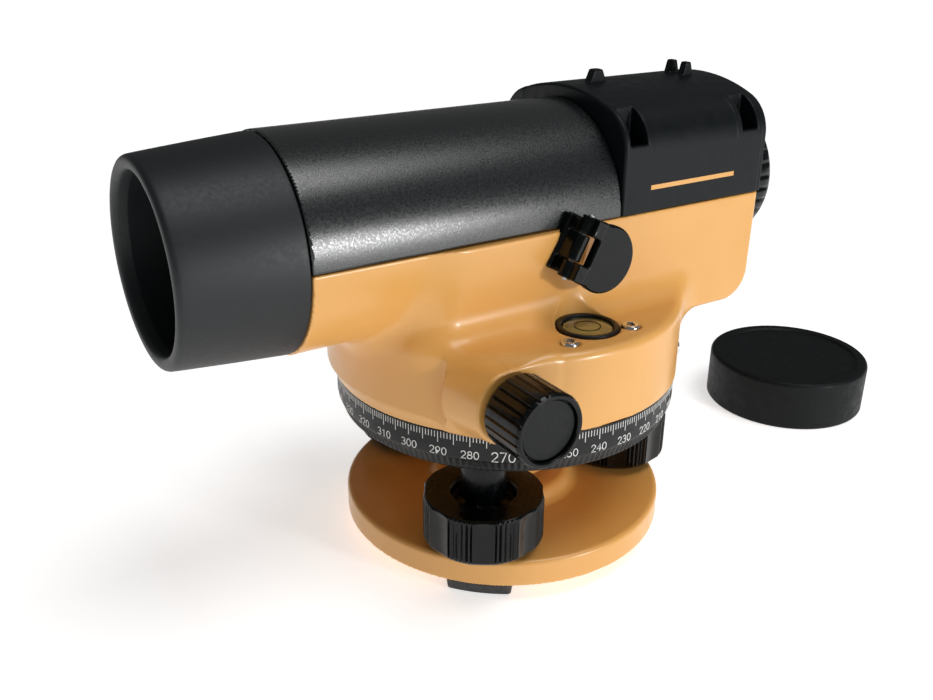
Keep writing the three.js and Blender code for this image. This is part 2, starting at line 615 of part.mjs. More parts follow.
for (const { x, side } of coverSides) {
  const seat = WELL_SEAT_Z + GAP;
  const head = disc(COVER_SCREW.headRadius, seat, seat + COVER_SCREW.headHeight, 12);
  const screw = join(disc(COVER_SCREW.radius, COVER_SCREW.bottom, WELL_SEAT_Z + 1, 8), head);
  const row = x === WELL_X[0] ? 'front' : 'rear';
  const name = `cover_screw_${row}_${side < 0 ? 'left' : 'right'}`;
  part(name, geometryOf(screw).translate(x, WELL_SCREW_Y * side, 0), FINISH.steel);
}

// ---- Objective end: profiles of [radius, X position] about the telescope axis ----------

part('objective_hood', onAxis(turned([
  [24.9, -112.2], [25.6, -113.3], [26.8, HOOD_FRONT_X], [27.5, -112.6], [27.9, -110.6],
  [30.2, HOOD_REAR_X], [24, HOOD_REAR_X], [24, -88], [21.8, -88], [24.6, -110.5],
], 36)), FINISH.rubber);

part('objective_cell', onAxis(turned([
  [17.6, -87.6], [23.7, -87.6], [23.7, TUBE_FRONT_X], [TUBE_BORE - GAP, TUBE_FRONT_X + 0.4],
  [TUBE_BORE - GAP, -71], [19, -71], [19, -73.2], [20.4, -73.2], [20.4, -85.6], [17.6, -85.6],
], 24)), FINISH.satinBlack);

part('objective_crown_lens', onAxis(turned([
  [0, -85.2], [10, -84.6], [20, -82], [20, -79.6], [10, -78.2], [0, -77.8],
], 18)), FINISH.glass);

part('objective_flint_lens', onAxis(turned([
  [0, -77.4], [10, -77.8], [20, -79.2], [20, -74.2], [0, -74.2],
], 18)), FINISH.glass);

// ---- Focusing --------------------------------------------------------------------------

function rackOutline() {
  const pitch = (2 * Math.PI * (PINION_TIP + 0.15)) / PINION_TEETH;
  const [start, count] = [0, 18];
  const tip = FOCUS_Z + PINION_TIP + GAP;
  const shape = new THREE.Shape();
  shape.moveTo(start, tip + 2);
  for (let i = 0; i < count; i += 1) {
    shape.lineTo(start + i * pitch, tip + 0.8);
    shape.lineTo(start + (i + 0.5) * pitch, tip);
  }
  shape.lineTo(start + count * pitch, tip + 0.8);
  shape.lineTo(start + count * pitch, tip + 2);
  shape.closePath();
  return shape;
}

part('focusing_lens_cell', join(
  onAxis(tube(8.4, 10, -8, 20)),
  onAxis(turned([
    [9, -8], [27.2, -8], [27.2, 0], [25.4, 0], [25.4, -6], [9, -6],
  ], 24)),
  prismY(rackOutline(), -3, 3),
), FINISH.aluminium);

part('focusing_lens', onAxis(turned([
  [0, 9], [4, 8.8], [8.1, 8], [8.1, 12], [4, 11.2], [0, 11],
], 16)), FINISH.glass);

const pinionShaft = () => join(
  disc(2, -3.6, 25, 8),
  disc(3, 25, 49, 12),
  prismZ(toothed(PINION_TIP, 0.6, PINION_TEETH), -3.4, 3.4),
);
part('focus_pinion_shaft', alongY(geometryOf(pinionShaft()), FOCUS_X, FOCUS_Z), FINISH.steel);

const focusKnob = () => cut(
  prismZ(fluted(FOCUS_KNOB_RADIUS, 0.5, 20), FOCUS_BOSS.outer + GAP, FOCUS_KNOB_END_Y),
  disc(3 + GAP, 30, FOCUS_KNOB_END_Y - 1.7, 12),
);
part('focus_knob', alongY(geometryOf(focusKnob()), FOCUS_X, FOCUS_Z), FINISH.glossBlack);

// ---- Compensator -----------------------------------------------------------------------

function compensatorFrame() {
  const { front, rear, halfWidth, wall, floor, base, top } = FRAME;
  const side = (y) => box(front, rear, y, y + wall, base - 1, top);
  return join(
    box(front - 4, rear + 4, -halfWidth, halfWidth, floor, base),
    side(-halfWidth),
    side(halfWidth - wall),
    box(front + 3, rear - 3, -halfWidth, halfWidth, top - 3, top),
  );
}

function compensatorPendulum() {
  const { x, pivotZ, halfWidth, arm, low, high } = PENDULUM;
  const side = (y) => box(x - 5, x + 5, y, y + arm, low + 2.5, high);
  return join(
    side(-halfWidth),
    side(halfWidth - arm),
    box(x - 5, x + 5, -halfWidth, halfWidth, low, low + 3.5),
    box(x - 3.5, x + 3.5, -halfWidth, halfWidth, high - 4.5, high),
    alongY(disc(1.5, -FRAME.halfWidth + 4, FRAME.halfWidth - 4, 8), x, pivotZ),
  );
}

part('compensator_frame', compensatorFrame(), FINISH.aluminium);
part('compensator_pendulum', compensatorPendulum(), FINISH.brass);
const prism = box(PENDULUM.x - 4.6, PENDULUM.x + 4.6, -9.2, 9.2, 101, 120);
part('pendulum_prism', prism, FINISH.glass);

// ---- Reticle and eyepiece --------------------------------------------------------------

part('eyepiece_tube', onAxis(tube(10, EYE_TUBE_RADIUS, RETICLE_X - 0.6, 86.6)), FINISH.satinBlack);
part('reticle_ring', onAxis(tube(6.5, 9.7, RETICLE_X, RETICLE_X + 2, 16)), FINISH.brass);
part('reticle_glass', onAxis(disc(9.5, RETICLE_X + 2.3, RETICLE_X + 3.6, 16)), FINISH.glass);

const eyepieceBlank = () => cut(
  prismZ(fluted(EYEPIECE_RADIUS, 0.6, 20), REAR_X + 0.4, EYEPIECE_END_X - 1.6),
  disc(EYE_TUBE_RADIUS + GAP, 60, 100),
  tube(16, 21, 85.5, 100),
);
part('eyepiece_ring', onAxis(geometryOf(join(
  eyepieceBlank(),
  tube(20.8, EYEPIECE_RADIUS - 1, EYEPIECE_END_X - 2, EYEPIECE_END_X),
))), FINISH.glossBlack);

part('ocular_cell', onAxis(tube(7.4, 9.2, 73, 90, 20)), FINISH.satinBlack);
part('ocular_lens', onAxis(turned([
  [0, 83], [7.1, 83.6], [7.1, 85.6], [4, 86.5], [0, 86.8],
], 16)), FINISH.glass);

// ---- Circular vial ---------------------------------------------------------------------

part('circular_vial_ring', tube(7.6, VIAL.radius, DECK_Z - VIAL_DEPTH, DECK_Z + 0.6, 24)
  .translate(VIAL.x, VIAL.y, 0), FINISH.ringBlack);
part('circular_vial_glass', turned([
  [0, DECK_Z - 5], [7.3, DECK_Z - 5], [7.3, DECK_Z - 0.2], [4, DECK_Z + 0.1], [0, DECK_Z + 0.2],
], 20).translate(VIAL.x, VIAL.y, 0), FINISH.vialGlass);

VIAL_SCREWS.forEach(([x, y], i) => {
  const screw = cut(
    disc(VIAL_SCREW_RADIUS, DECK_Z - 2.6, DECK_Z + 0.7, 12),
    disc(1.3, DECK_Z - 0.6, DECK_Z + 2, 6),
  );
  part(`vial_adjusting_screw_${i + 1}`, geometryOf(screw).translate(x, y, 0), FINISH.chrome);
});

// ---- Bubble mirror ---------------------------------------------------------------------

// Pieces are made with the hinge line on the local Z axis, then leaned and put in place.
const onHinge = (shape) => geometryOf(shape).rotateY(rad(MIRROR_HINGE.lean))
  .translate(MIRROR_HINGE.x, MIRROR_HINGE.y, MIRROR_HINGE.z);

// The flap seen from the front: a round end, two straight sides and a notch for the hinge.
function flapOutline() {
  const { centreX, radius, back, notch, halfNotch } = FLAP;
  const turn = rad(110);
  const side = radius * Math.sin(turn);
  const shape = new THREE.Shape();
  shape.moveTo(back, -side);
  shape.absarc(centreX, 0, radius, -turn, turn, false);
  shape.lineTo(back, side);
  shape.lineTo(back, halfNotch);
  shape.lineTo(notch, halfNotch);
  shape.lineTo(notch, -halfNotch);
  shape.lineTo(back, -halfNotch);
  shape.closePath();
  return shape;
}

// A circle with one straight side towards the hinge.
function mirrorOutline(radius, edge) {
  const half = Math.acos((edge - FLAP.centreX) / radius);
  const shape = new THREE.Shape();
  shape.absarc(FLAP.centreX, 0, radius, -half, half, false);
  shape.closePath();
  return shape;
}

const pinHole = () => disc(HINGE.bore, -20, 20, 8);
const barrel = (low, high) => disc(HINGE.radius, low, high, 12);

function mirrorBracket() {
  const { radius, halfBracket } = HINGE;
  const plate = box(-3.4, 3.4, 4.2, 6.6, -8.5, 8.5);
  const web = box(-radius, radius, 0, 5, -halfBracket, halfBracket);
  return cut(join(plate, web, barrel(-halfBracket, halfBracket)), pinHole());
}

function mirrorFlap() {
  const { armInner, armOuter } = HINGE;
  const pocket = prismY(mirrorOutline(GLASS.radius + 0.4, GLASS.edge - 0.4), GLASS.front - GAP, 0);
  return cut(join(
    prismY(flapOutline(), FLAP.front, FLAP.rear),
    box(-0.5, 3, FLAP.front, -0.5, armInner, armOuter),
    box(-0.5, 3, FLAP.front, -0.5, -armOuter, -armInner),
    barrel(armInner, armOuter),
    barrel(-armOuter, -armInner),
  ), pocket, pinHole());
}

const pinEnd = HINGE.armOuter + 0.4;
const mirrorGlass = () => prismY(
  mirrorOutline(GLASS.radius, GLASS.edge), GLASS.front, GLASS.front + GLASS.thickness,
);

part('mirror_bracket', onHinge(mirrorBracket()), FINISH.glossBlack);
part('mirror_hinge_pin', onHinge(disc(HINGE.pin, -pinEnd, pinEnd, 8)), FINISH.steel);
part('mirror_flap', onHinge(mirrorFlap()), FINISH.glossBlack);
part('mirror_glass', onHinge(mirrorGlass()), FINISH.mirror);

// ---- Lens cap --------------------------------------------------------------------------

part('lens_cap', turned([
  [0, CAP.height - CAP.roof], [CAP.bore, CAP.height - CAP.roof], [CAP.bore, 0], [CAP.radius - 0.6, 0],
  [CAP.radius, 0.8], [CAP.radius, CAP.height - 3.4], [CAP.radius - 0.9, CAP.height - 1.2],
  [CAP.radius - 3, CAP.height], [27.4, CAP.height], [27, CAP.height - 0.6], [0, CAP.height - 0.6],
], 32).translate(CAP.x, CAP.y, 0), FINISH.rubber);

export default level;
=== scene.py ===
"""Automatic level: the fine surface and finish of every visible piece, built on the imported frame.

Shapes are worked out in millimetres and written to meshes in metres. Turned pieces come from
profiles, castings and moulded pieces from distance fields, and every finish is a node material.
"""

import json
import math

import bmesh
import bpy
import numpy as np
import openvdb as vdb
from mathutils import Matrix, Vector

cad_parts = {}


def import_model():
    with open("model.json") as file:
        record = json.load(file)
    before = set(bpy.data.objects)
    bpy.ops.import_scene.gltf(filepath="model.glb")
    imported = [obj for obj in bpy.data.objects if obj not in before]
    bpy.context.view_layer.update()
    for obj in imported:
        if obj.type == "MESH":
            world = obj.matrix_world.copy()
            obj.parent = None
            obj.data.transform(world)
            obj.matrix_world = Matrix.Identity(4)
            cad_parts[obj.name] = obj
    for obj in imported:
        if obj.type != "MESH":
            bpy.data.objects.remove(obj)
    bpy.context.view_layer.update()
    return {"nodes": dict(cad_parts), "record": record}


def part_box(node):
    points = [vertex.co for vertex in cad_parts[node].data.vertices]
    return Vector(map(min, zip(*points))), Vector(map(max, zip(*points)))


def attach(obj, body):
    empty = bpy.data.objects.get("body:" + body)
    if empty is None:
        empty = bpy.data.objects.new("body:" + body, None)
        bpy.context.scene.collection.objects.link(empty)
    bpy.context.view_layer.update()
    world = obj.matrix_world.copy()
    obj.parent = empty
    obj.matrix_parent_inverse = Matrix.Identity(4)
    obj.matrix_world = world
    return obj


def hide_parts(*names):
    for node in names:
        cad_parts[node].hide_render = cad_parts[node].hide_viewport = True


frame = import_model()

MM = 0.001

# ---- Dimensions shared with the design, in millimetres -----------------------------------

AXIS_Z = 110.7
SEAM_Z = 110.5
TUBE_R = 30.6
TUBE_BORE = 27.8
TUBE_FRONT_X = -80.3
DECK_Z = 83.1
DRUM_R = 55.6
DRUM_BOTTOM = 58.8
SIDE_SCREW_ANGLE, SIDE_SCREW_Z = math.radians(-32), 62
REAR_X = 78.8
REAR_FLOOR_Z = 74.1
REAR_WALL_X = 76.0
WORM_X, WORM_Z = -33.2, 70.7
TANGENT_BOSS_Y = 50.4
TANGENT_BOSS_R = 11.5
TANGENT_BOSS_DRAFT = 0.165
TANGENT_BOSS_TOP = 81.8
FOCUS_X, FOCUS_Z = 12.0, 97.5
FOCUS_BOSS_Y = 36.7
FOOT_PLATE_TOP = 5.6
BASE_BOTTOM, BASE_TOP = 5.9, 19
BASE_BORE_R = 11.3
INSERT_THREAD_R, INSERT_PITCH = 8.6, 25.4 / 11
BALL_R, BALL_Z = 4.4, 10.6
SPINDLE_R, SPINDLE_PITCH, SPINDLE_THREAD_Z = 3.6, 0.9, 17.3
FOOT_KNOB_CORE_R = 15
SCREW_CIRCLE = 42.0
SCREW_ANGLES = {"front": -133, "right": -13, "left": 107}
VIAL_SCREWS = ((-11.2, -46.8), (11.6, -46.4), (0.0, -26.3))
COVER_FRONT_X = 19.5
COVER_CROWN_Z = 145.1
COVER_SHOULDER_Z = 128.7
COVER_SHOULDER_R = 13.0
COVER_WALL = 2.6
WELL_X = (24.7, 71.0)
WELL_HALF = 3.3
WELL_FLOOR_Z = 131.1
WELL_BACK_Y = 22.0
WELL_SEAT_Z = 127.0
WELL_SCREW_Y = 25.3
RING_R = 55.1
RING_BOTTOM, RING_TOP = 46.2, 58.5
HINGE_AT = Vector((-2.65, -37.5, 107.0))
HINGE_LEAN = math.radians(28)
FLAP_X = 8.2


def node_mm(node):
    """The lowest and highest corner of a CAD node, in millimetres."""
    low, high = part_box(node)
    return Vector(low) / MM, Vector(high) / MM


def node_centre(node):
    """The middle of a CAD node's box, in millimetres."""
    low, high = node_mm(node)
    return (low + high) / 2


VIAL = node_centre("circular_vial_ring")


# ---- Node materials -----------------------------------------------------------------------

def linear(rgb):
    """Linear colour from 0-255 display values."""
    out = []
    for value in rgb:
        c = value / 255
        out.append(c / 12.92 if c <= 0.04045 else ((c + 0.055) / 1.055) ** 2.4)
    return (*out, 1.0)


class Finish:
    """A Principled material with helpers that add texture nodes."""

    def __init__(self, name, rgb, rough, **inputs):
        self.material = bpy.data.materials.new(name)
        self.material.use_nodes = True
        self.tree = self.material.node_tree
        self.shader = self.tree.nodes["Principled BSDF"]
        self.shader.inputs["Base Color"].default_value = linear(rgb)
        self.shader.inputs["Roughness"].default_value = rough
        for socket, value in inputs.items():
            self.shader.inputs[socket.replace("_", " ")].default_value = value
        self.coords = self.node("ShaderNodeTexCoord").outputs["Object"]
        self.height = None

    def node(self, kind, **settings):
        made = self.tree.nodes.new(kind)
        for key, value in settings.items():
            setattr(made, key, value)
        return made

    def link(self, a, b):
        self.tree.links.new(a, b)

    def noise(self, size_mm, detail=3.0, roughness=0.55):
        """Noise whose features are about size_mm across."""
        made = self.node("ShaderNodeTexNoise")
        made.inputs["Scale"].default_value = 1 / (size_mm * MM)
        made.inputs["Detail"].default_value = detail
        made.inputs["Roughness"].default_value = roughness
        self.link(self.coords, made.inputs["Vector"])
        return made.outputs["Fac"]

    def remap(self, source, low, high, out_low, out_high):
        """Turns the range low to high of source into out_low to out_high."""
        made = self.node("ShaderNodeMapRange")
        ranges = {"From Min": low, "From Max": high, "To Min": out_low, "To Max": out_high}
        for socket, value in ranges.items():
            made.inputs[socket].default_value = value
        self.link(source, made.inputs["Value"])
        return made.outputs["Result"]

    def vary_colour(self, source, low, high, rgb, amount=1.0):
        """Mixes rgb into the base colour where source goes from low to high."""
        mix = self.node("ShaderNodeMix", data_type="RGBA")
        self.link(self.remap(source, low, high, 0.0, amount), mix.inputs["Factor"])
        previous = self.shader.inputs["Base Color"]
        if previous.is_linked:
            self.link(previous.links[0].from_socket, mix.inputs["A"])
        else:
            mix.inputs["A"].default_value = previous.default_value
        mix.inputs["B"].default_value = linear(rgb)
        self.link(mix.outputs["Result"], previous)

    def vary_rough(self, source, low, high, rough_low, rough_high):
        """Lets the roughness follow source."""
        self.link(self.remap(source, low, high, rough_low, rough_high), self.shader.inputs["Roughness"])

    def bump(self, source, depth_mm, strength=1.0):
        """Adds relief depth_mm high on top of the relief that is there."""
        made = self.node("ShaderNodeBump")
        made.inputs["Strength"].default_value = strength
        made.inputs["Distance"].default_value = depth_mm * MM
        self.link(source, made.inputs["Height"])
        if self.height is not None:
            self.link(self.height, made.inputs["Normal"])
        self.height = made.outputs["Normal"]
        self.link(self.height, self.shader.inputs["Normal"])


def painted_orange():
    f = Finish("orange_paint", (228, 169, 93), 0.36, Coat_Weight=0.2, Coat_Roughness=0.16)
    broad = f.noise(28, detail=2)
    f.vary_colour(broad, 0.35, 0.7, (220, 162, 80), 0.6)
    f.vary_colour(f.noise(0.9, detail=4), 0.62, 0.8, (237, 186, 110), 0.35)
    f.vary_rough(f.noise(6), 0.3, 0.7, 0.28, 0.42)
    f.bump(f.noise(2.2, detail=2), 0.035, 0.6)
    f.bump(f.noise(0.45, detail=1), 0.006, 0.5)
    return f.material


def textured_black():
    f = Finish("black_textured_paint", (10, 15, 17), 0.28, Specular_IOR_Level=0.95)
    grain = f.noise(0.34, detail=3, roughness=0.65)
    f.vary_colour(grain, 0.55, 0.75, (36, 42, 45), 0.5)
    f.vary_rough(f.noise(0.6, detail=2), 0.3, 0.7, 0.22, 0.36)
    f.bump(grain, 0.045, 0.6)
    f.bump(f.noise(1.3, detail=2), 0.03, 0.35)
    return f.material


def satin_black():
    f = Finish("satin_black_plastic", (11, 16, 19), 0.42, Specular_IOR_Level=0.2)
    f.vary_colour(f.noise(16, detail=2), 0.35, 0.7, (9, 14, 17), 0.8)
    f.vary_rough(f.noise(3.5), 0.3, 0.7, 0.38, 0.52)
    f.bump(f.noise(0.3, detail=2), 0.008, 0.6)
    return f.material


def gloss_black():
    f = Finish("gloss_black_plastic", (3, 5, 6), 0.2, Specular_IOR_Level=0.26)
    f.vary_rough(f.noise(2.4, detail=4), 0.35, 0.75, 0.14, 0.34)
    f.vary_colour(f.noise(0.7, detail=3), 0.66, 0.8, (20, 23, 24), 0.3)
    f.bump(f.noise(3.0, detail=2), 0.02, 0.4)
    return f.material


def satin_disc():
    f = Finish("satin_disc", (8, 11, 12), 0.5, Specular_IOR_Level=0.25)
    f.vary_rough(f.noise(1.5, detail=4), 0.3, 0.7, 0.42, 0.6)
    f.vary_colour(f.noise(0.5, detail=3), 0.6, 0.8, (32, 36, 38), 0.3)
    f.bump(f.noise(0.25, detail=2), 0.006, 0.6)
    return f.material


def hood_rubber():
    f = Finish("hood_rubber", (14, 19, 22), 0.5, Specular_IOR_Level=0.5)
    f.vary_colour(f.noise(9, detail=4), 0.4, 0.75, (19, 24, 27), 0.35)
    f.vary_colour(f.noise(0.35, detail=2), 0.62, 0.78, (30, 35, 38), 0.3)
    f.vary_rough(f.noise(1.1), 0.3, 0.7, 0.46, 0.54)
    f.bump(f.noise(0.28, detail=2), 0.012, 0.7)
    return f.material


def cap_plastic():
    f = Finish("cap_plastic", (8, 11, 13), 0.5, Specular_IOR_Level=0.2)
    f.vary_colour(f.noise(12, detail=3), 0.4, 0.7, (13, 17, 19), 0.6)
    f.vary_rough(f.noise(3), 0.3, 0.7, 0.45, 0.62)
    f.bump(f.noise(0.3, detail=2), 0.01, 0.6)
    return f.material


def ring_black():
    f = Finish("degree_ring_black", (8, 10, 11), 0.42, Specular_IOR_Level=0.35)
    f.vary_colour(f.noise(10, detail=2), 0.4, 0.7, (19, 21, 23), 0.7)
    f.vary_rough(f.noise(2.5), 0.3, 0.7, 0.34, 0.5)
    f.bump(f.noise(0.3, detail=2), 0.006, 0.5)
    return f.material


def scale_white():
    f = Finish("scale_white", (226, 228, 226), 0.5)
    f.vary_colour(f.noise(0.5, detail=3), 0.5, 0.75, (170, 174, 174), 0.6)
    f.bump(f.noise(0.2, detail=1), 0.01, 0.5)
    return f.material


def foot_black():
    f = Finish("foot_black", (22, 24, 26), 0.6)
    f.vary_colour(f.noise(1.2, detail=4), 0.55, 0.75, (38, 40, 42), 0.4)
    f.vary_rough(f.noise(2), 0.3, 0.7, 0.5, 0.7)
    f.bump(f.noise(0.5, detail=3), 0.03, 0.6)
    return f.material


def metal(name, rgb, rough):
    f = Finish(name, rgb, rough, Metallic=1.0)
    f.vary_rough(f.noise(0.5, detail=4), 0.3, 0.7, rough * 0.7, rough * 1.35)
    f.bump(f.noise(0.25, detail=2), 0.004, 0.6)
    return f.material


def anodised_black():
    f = Finish("black_anodised", (26, 27, 29), 0.38, Metallic=0.6)
    f.vary_rough(f.noise(1.2, detail=3), 0.3, 0.7, 0.3, 0.5)
    f.bump(f.noise(0.2, detail=1), 0.004, 0.5)
    return f.material


def lens_glass():
    """Coated optical glass: clear, with a faint green bloom."""
    f = Finish("optical_glass", (196, 224, 210), 0.02, Transmission_Weight=1.0, IOR=1.52)
    f.vary_rough(f.noise(6), 0.3, 0.8, 0.01, 0.05)
    return f.material


def vial_fluid():
    f = Finish("vial_fluid", (206, 200, 128), 0.03, Transmission_Weight=0.75, IOR=1.4,
               Coat_Weight=0.6, Coat_Roughness=0.03)
    f.vary_colour(f.noise(5, detail=2), 0.3, 0.7, (176, 168, 98), 0.6)
    return f.material


def mirror_silver():
    f = Finish("mirror_silver", (232, 236, 238), 0.04, Metallic=1.0)
    f.vary_rough(f.noise(3, detail=4), 0.3, 0.8, 0.02, 0.1)
    return f.material


ORANGE = painted_orange()
TUBE_BLACK = textured_black()
COVER_BLACK = satin_black()
GLOSS = gloss_black()
DISC = satin_disc()
HOOD = hood_rubber()
CAP = cap_plastic()
RING = ring_black()
WHITE = scale_white()
FOOT = foot_black()
ANODISED = anodised_black()
STEEL = metal("steel", (186, 188, 190), 0.3)
CHROME = metal("chrome", (222, 224, 226), 0.14)
SCREW_BLACK = metal("black_screws", (52, 53, 55), 0.35)
BRASS = metal("brass", (190, 150, 82), 0.3)
ALUMINIUM = metal("aluminium", (160, 164, 168), 0.36)
GLASS = lens_glass()
FLUID = vial_fluid()
MIRROR = mirror_silver()

SLOT_MATERIALS = {
    "orange_paint": ORANGE, "black_textured_paint": TUBE_BLACK, "satin_black_plastic": COVER_BLACK,
    "gloss_black_plastic": GLOSS, "satin_disc": DISC, "degree_ring_black": RING, "hood_rubber": HOOD,
    "cap_plastic": CAP, "foot_black": FOOT, "vial_frame": RING, "vial_fluid": FLUID,
    "optical_glass": GLASS, "mirror_silver": MIRROR, "steel": STEEL, "black_screws": SCREW_BLACK,
    "chrome_screws": CHROME, "brass": BRASS, "black_anodised": ANODISED, "aluminium": ALUMINIUM,
}


# ---- Making and placing pieces ------------------------------------------------------------

SLOT_OF = {row["node"]: row["material_slot"] for row in frame["record"]["subparts"]}
BODY_OF = {node: body for body, nodes in frame["record"]["behaviour"]["bodies"].items() for node in nodes}


def piece(name, verts_mm, faces, material, node=None, body=None, sharp=38, slot=None):
    """A mesh piece. With a node it stands for that CAD node and rides on its body."""
    mesh = bpy.data.meshes.new(name)
    points = np.asarray(verts_mm, dtype=float) * MM
    mesh.from_pydata(points.tolist(), [], [tuple(f) for f in faces])
    mesh.validate()
    mesh.materials.append(material)
    tidy = bmesh.new()
    tidy.from_mesh(mesh)
    bmesh.ops.remove_doubles(tidy, verts=tidy.verts, dist=1e-7)
    bmesh.ops.recalc_face_normals(tidy, faces=tidy.faces)
    tidy.to_mesh(mesh)
    tidy.free()
    mesh.shade_smooth()
    mesh.set_sharp_from_angle(angle=math.radians(sharp))
    made = bpy.data.objects.new(name, mesh)
    bpy.context.scene.collection.objects.link(made)
    place(made, node, body)
    return made


def place(made, node=None, body=None):
    """Puts a piece on its body and hides the CAD node it stands for."""
    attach(made, body or BODY_OF[node])
    if node:
        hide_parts(node)


# ---- Profiles and turned pieces -----------------------------------------------------------

def fillet(points, closed, steps):
    """Rounds a polyline's corners. Each point is (r, h) or (r, h, corner radius)."""
    count = len(points)
    out = []
    for i, point in enumerate(points):
        here = Vector(point[:2])
        radius = point[2] if len(point) > 2 else 0
        if radius == 0 or (not closed and i in (0, count - 1)):
            out.append(here)
            continue
        before = Vector(points[i - 1][:2]) - here
        after = Vector(points[(i + 1) % count][:2]) - here
        angle = before.angle(after)
        reach = min(radius / math.tan(angle / 2), before.length * 0.49, after.length * 0.49)
        start = here + before.normalized() * reach
        end = here + after.normalized() * reach
        for k in range(steps + 1):
            t = k / steps
            out.append(start * (1 - t) ** 2 + here * 2 * t * (1 - t) + end * t ** 2)
    return out


def turned(points, segments=96, shape=None, steps=4):
    """Vertices and faces of a body turned about Z. shape(angle, r, h) may move each radius."""
    ring = points[0][0] > 0
    profile = fillet(points, closed=ring, steps=steps)
    verts, faces, rows = [], [], []
    for r, h in profile:
        if r < 1e-6:
            rows.append([len(verts)] * segments)
            verts.append((0.0, 0.0, h))
            continue
        rows.append(list(range(len(verts), len(verts) + segments)))
        for k in range(segments):
            a = 2 * math.pi * k / segments
            radius = shape(a, r, h) if shape else r
            verts.append((radius * math.cos(a), radius * math.sin(a), h))
    pairs = list(zip(rows, rows[1:]))
    if ring:
        pairs.append((rows[-1], rows[0]))
    for low, high in pairs:
        for k in range(segments):
            n = (k + 1) % segments
            quad = [low[k], low[n], high[n], high[k]]
            face = [v for i, v in enumerate(quad) if v not in quad[:i]]
            if len(face) > 2:
                faces.append(face)
    return verts, faces


def moved(verts, matrix):
    """The vertices after a matrix."""
    return [tuple(matrix @ Vector(v)) for v in verts]


def upright(x, y):
    """Stands a body made about Z at x and y."""
    return Matrix.Translation((x, y, 0))


def along_x():
    """Lays a body made about Z on the telescope's axis, so that its heights are X positions."""
    return Matrix.Translation((0, 0, AXIS_Z)) @ Matrix.Rotation(math.pi / 2, 4, "Y")


def along_y(x, z, side=1):
    """Turns a body made about Z so that its heights are side * Y positions."""
    return Matrix.Translation((x, 0, z)) @ Matrix.Rotation(-side * math.pi / 2, 4, "X")


def turned_piece(name, points, matrix, material, node, segments=96, shape=None, steps=4, sharp=38):
    """A piece turned about Z and then put in place by a matrix."""
    verts, faces = turned(points, segments, shape=shape, steps=steps)
    return piece(name, moved(verts, matrix), faces, material, node, sharp=sharp)


# ---- Distance fields for castings and mouldings --------------------------------------------
# A field is about a distance in millimetres, negative inside the shape. r rounds the edge.

def f_join(a, b, r=0.0):
    """Both shapes together."""
    if r == 0:
        return np.minimum(a, b)
    u, v = np.maximum(r - a, 0), np.maximum(r - b, 0)
    return np.maximum(r, np.minimum(a, b)) - np.hypot(u, v)


def f_meet(a, b, r=0.0):
    """What two shapes share."""
    if r == 0:
        return np.maximum(a, b)
    u, v = np.maximum(r + a, 0), np.maximum(r + b, 0)
    return np.minimum(-r, np.maximum(a, b)) + np.hypot(u, v)


def f_cut(a, b, r=0.0):
    """Shape a without shape b."""
    return f_meet(a, -b, r)


def f_slab(value, low, high):
    """Where value lies between low and high."""
    return np.maximum(low - value, value - high)


def f_box(x, y, z, lo, hi, r=0.3):
    """A block between two corners."""
    flat = f_meet(f_slab(x, lo[0], hi[0]), f_slab(y, lo[1], hi[1]), r)
    return f_meet(flat, f_slab(z, lo[2], hi[2]), r)


def f_rod(u, v, w, radius, low, high, r=0.3):
    """A rod along w, round in u and v."""
    return f_meet(np.hypot(u, v) - radius, f_slab(w, low, high), r)


def field_mesh(field, low, high, voxel):
    """Vertices, faces and normals of a field's zero surface, in millimetres."""
    margin, band = 3 * voxel, 4 * voxel
    axes = [np.arange(a - margin, b + margin, voxel, dtype=np.float32) for a, b in zip(low, high)]
    x, y, z = axes[0][:, None, None], axes[1][None, :, None], axes[2][None, None, :]
    values = np.broadcast_to(field(x, y, z), [len(a) for a in axes])
    values = np.clip(np.ascontiguousarray(values, dtype=np.float32), -band, band)
    grid = vdb.FloatGrid(band)
    grid.copyFromArray(values)
    points, quads = grid.convertToQuads(0.0)
    points = points.astype(np.float64) * voxel + np.array([a[0] for a in axes])
    for _ in range(2):  # two small steps bring the points on to the surface itself
        normals, here = slope(field, points)
        points -= normals * np.clip(here, -0.5 * voxel, 0.5 * voxel)[:, None]
    return points, quads, slope(field, points)[0]


def slope(field, points, eps=0.05):
    """Unit normals and values of a field at points."""
    here = field(*points.T)
    normals = np.empty_like(points)
    for axis in range(3):
        step = np.zeros(3)
        step[axis] = eps
        normals[:, axis] = field(*(points + step).T) - field(*(points - step).T)
    length = np.linalg.norm(normals, axis=1, keepdims=True)
    return normals / np.maximum(length, 1e-9), here


def cast(name, field, low, high, voxel, material, node):
    """A piece whose surface is the field's zero, with normals taken from the field."""
    points, quads, normals = field_mesh(field, low, high, voxel)
    mesh = bpy.data.meshes.new(name)
    corner = points[quads[:, :3]]
    facing = np.cross(corner[:, 1] - corner[:, 0], corner[:, 2] - corner[:, 0])
    if (facing * normals[quads[:, 0]]).sum() < 0:
        quads = quads[:, ::-1]
    mesh.from_pydata((points * MM).tolist(), [], quads.tolist())
    mesh.materials.append(material)
    mesh.shade_smooth()
    mesh.normals_split_custom_set_from_vertices(normals.tolist())
    made = bpy.data.objects.new(name, mesh)
    bpy.context.scene.collection.objects.link(made)
    place(made, node)
    return made


# ---- Base ---------------------------------------------------------------------------------

def screw_spots():
    """Name, angle, x and y of each foot screw."""
    for place_name, angle in SCREW_ANGLES.items():
        a = math.radians(angle)
        yield place_name, a, SCREW_CIRCLE * math.cos(a), SCREW_CIRCLE * math.sin(a)


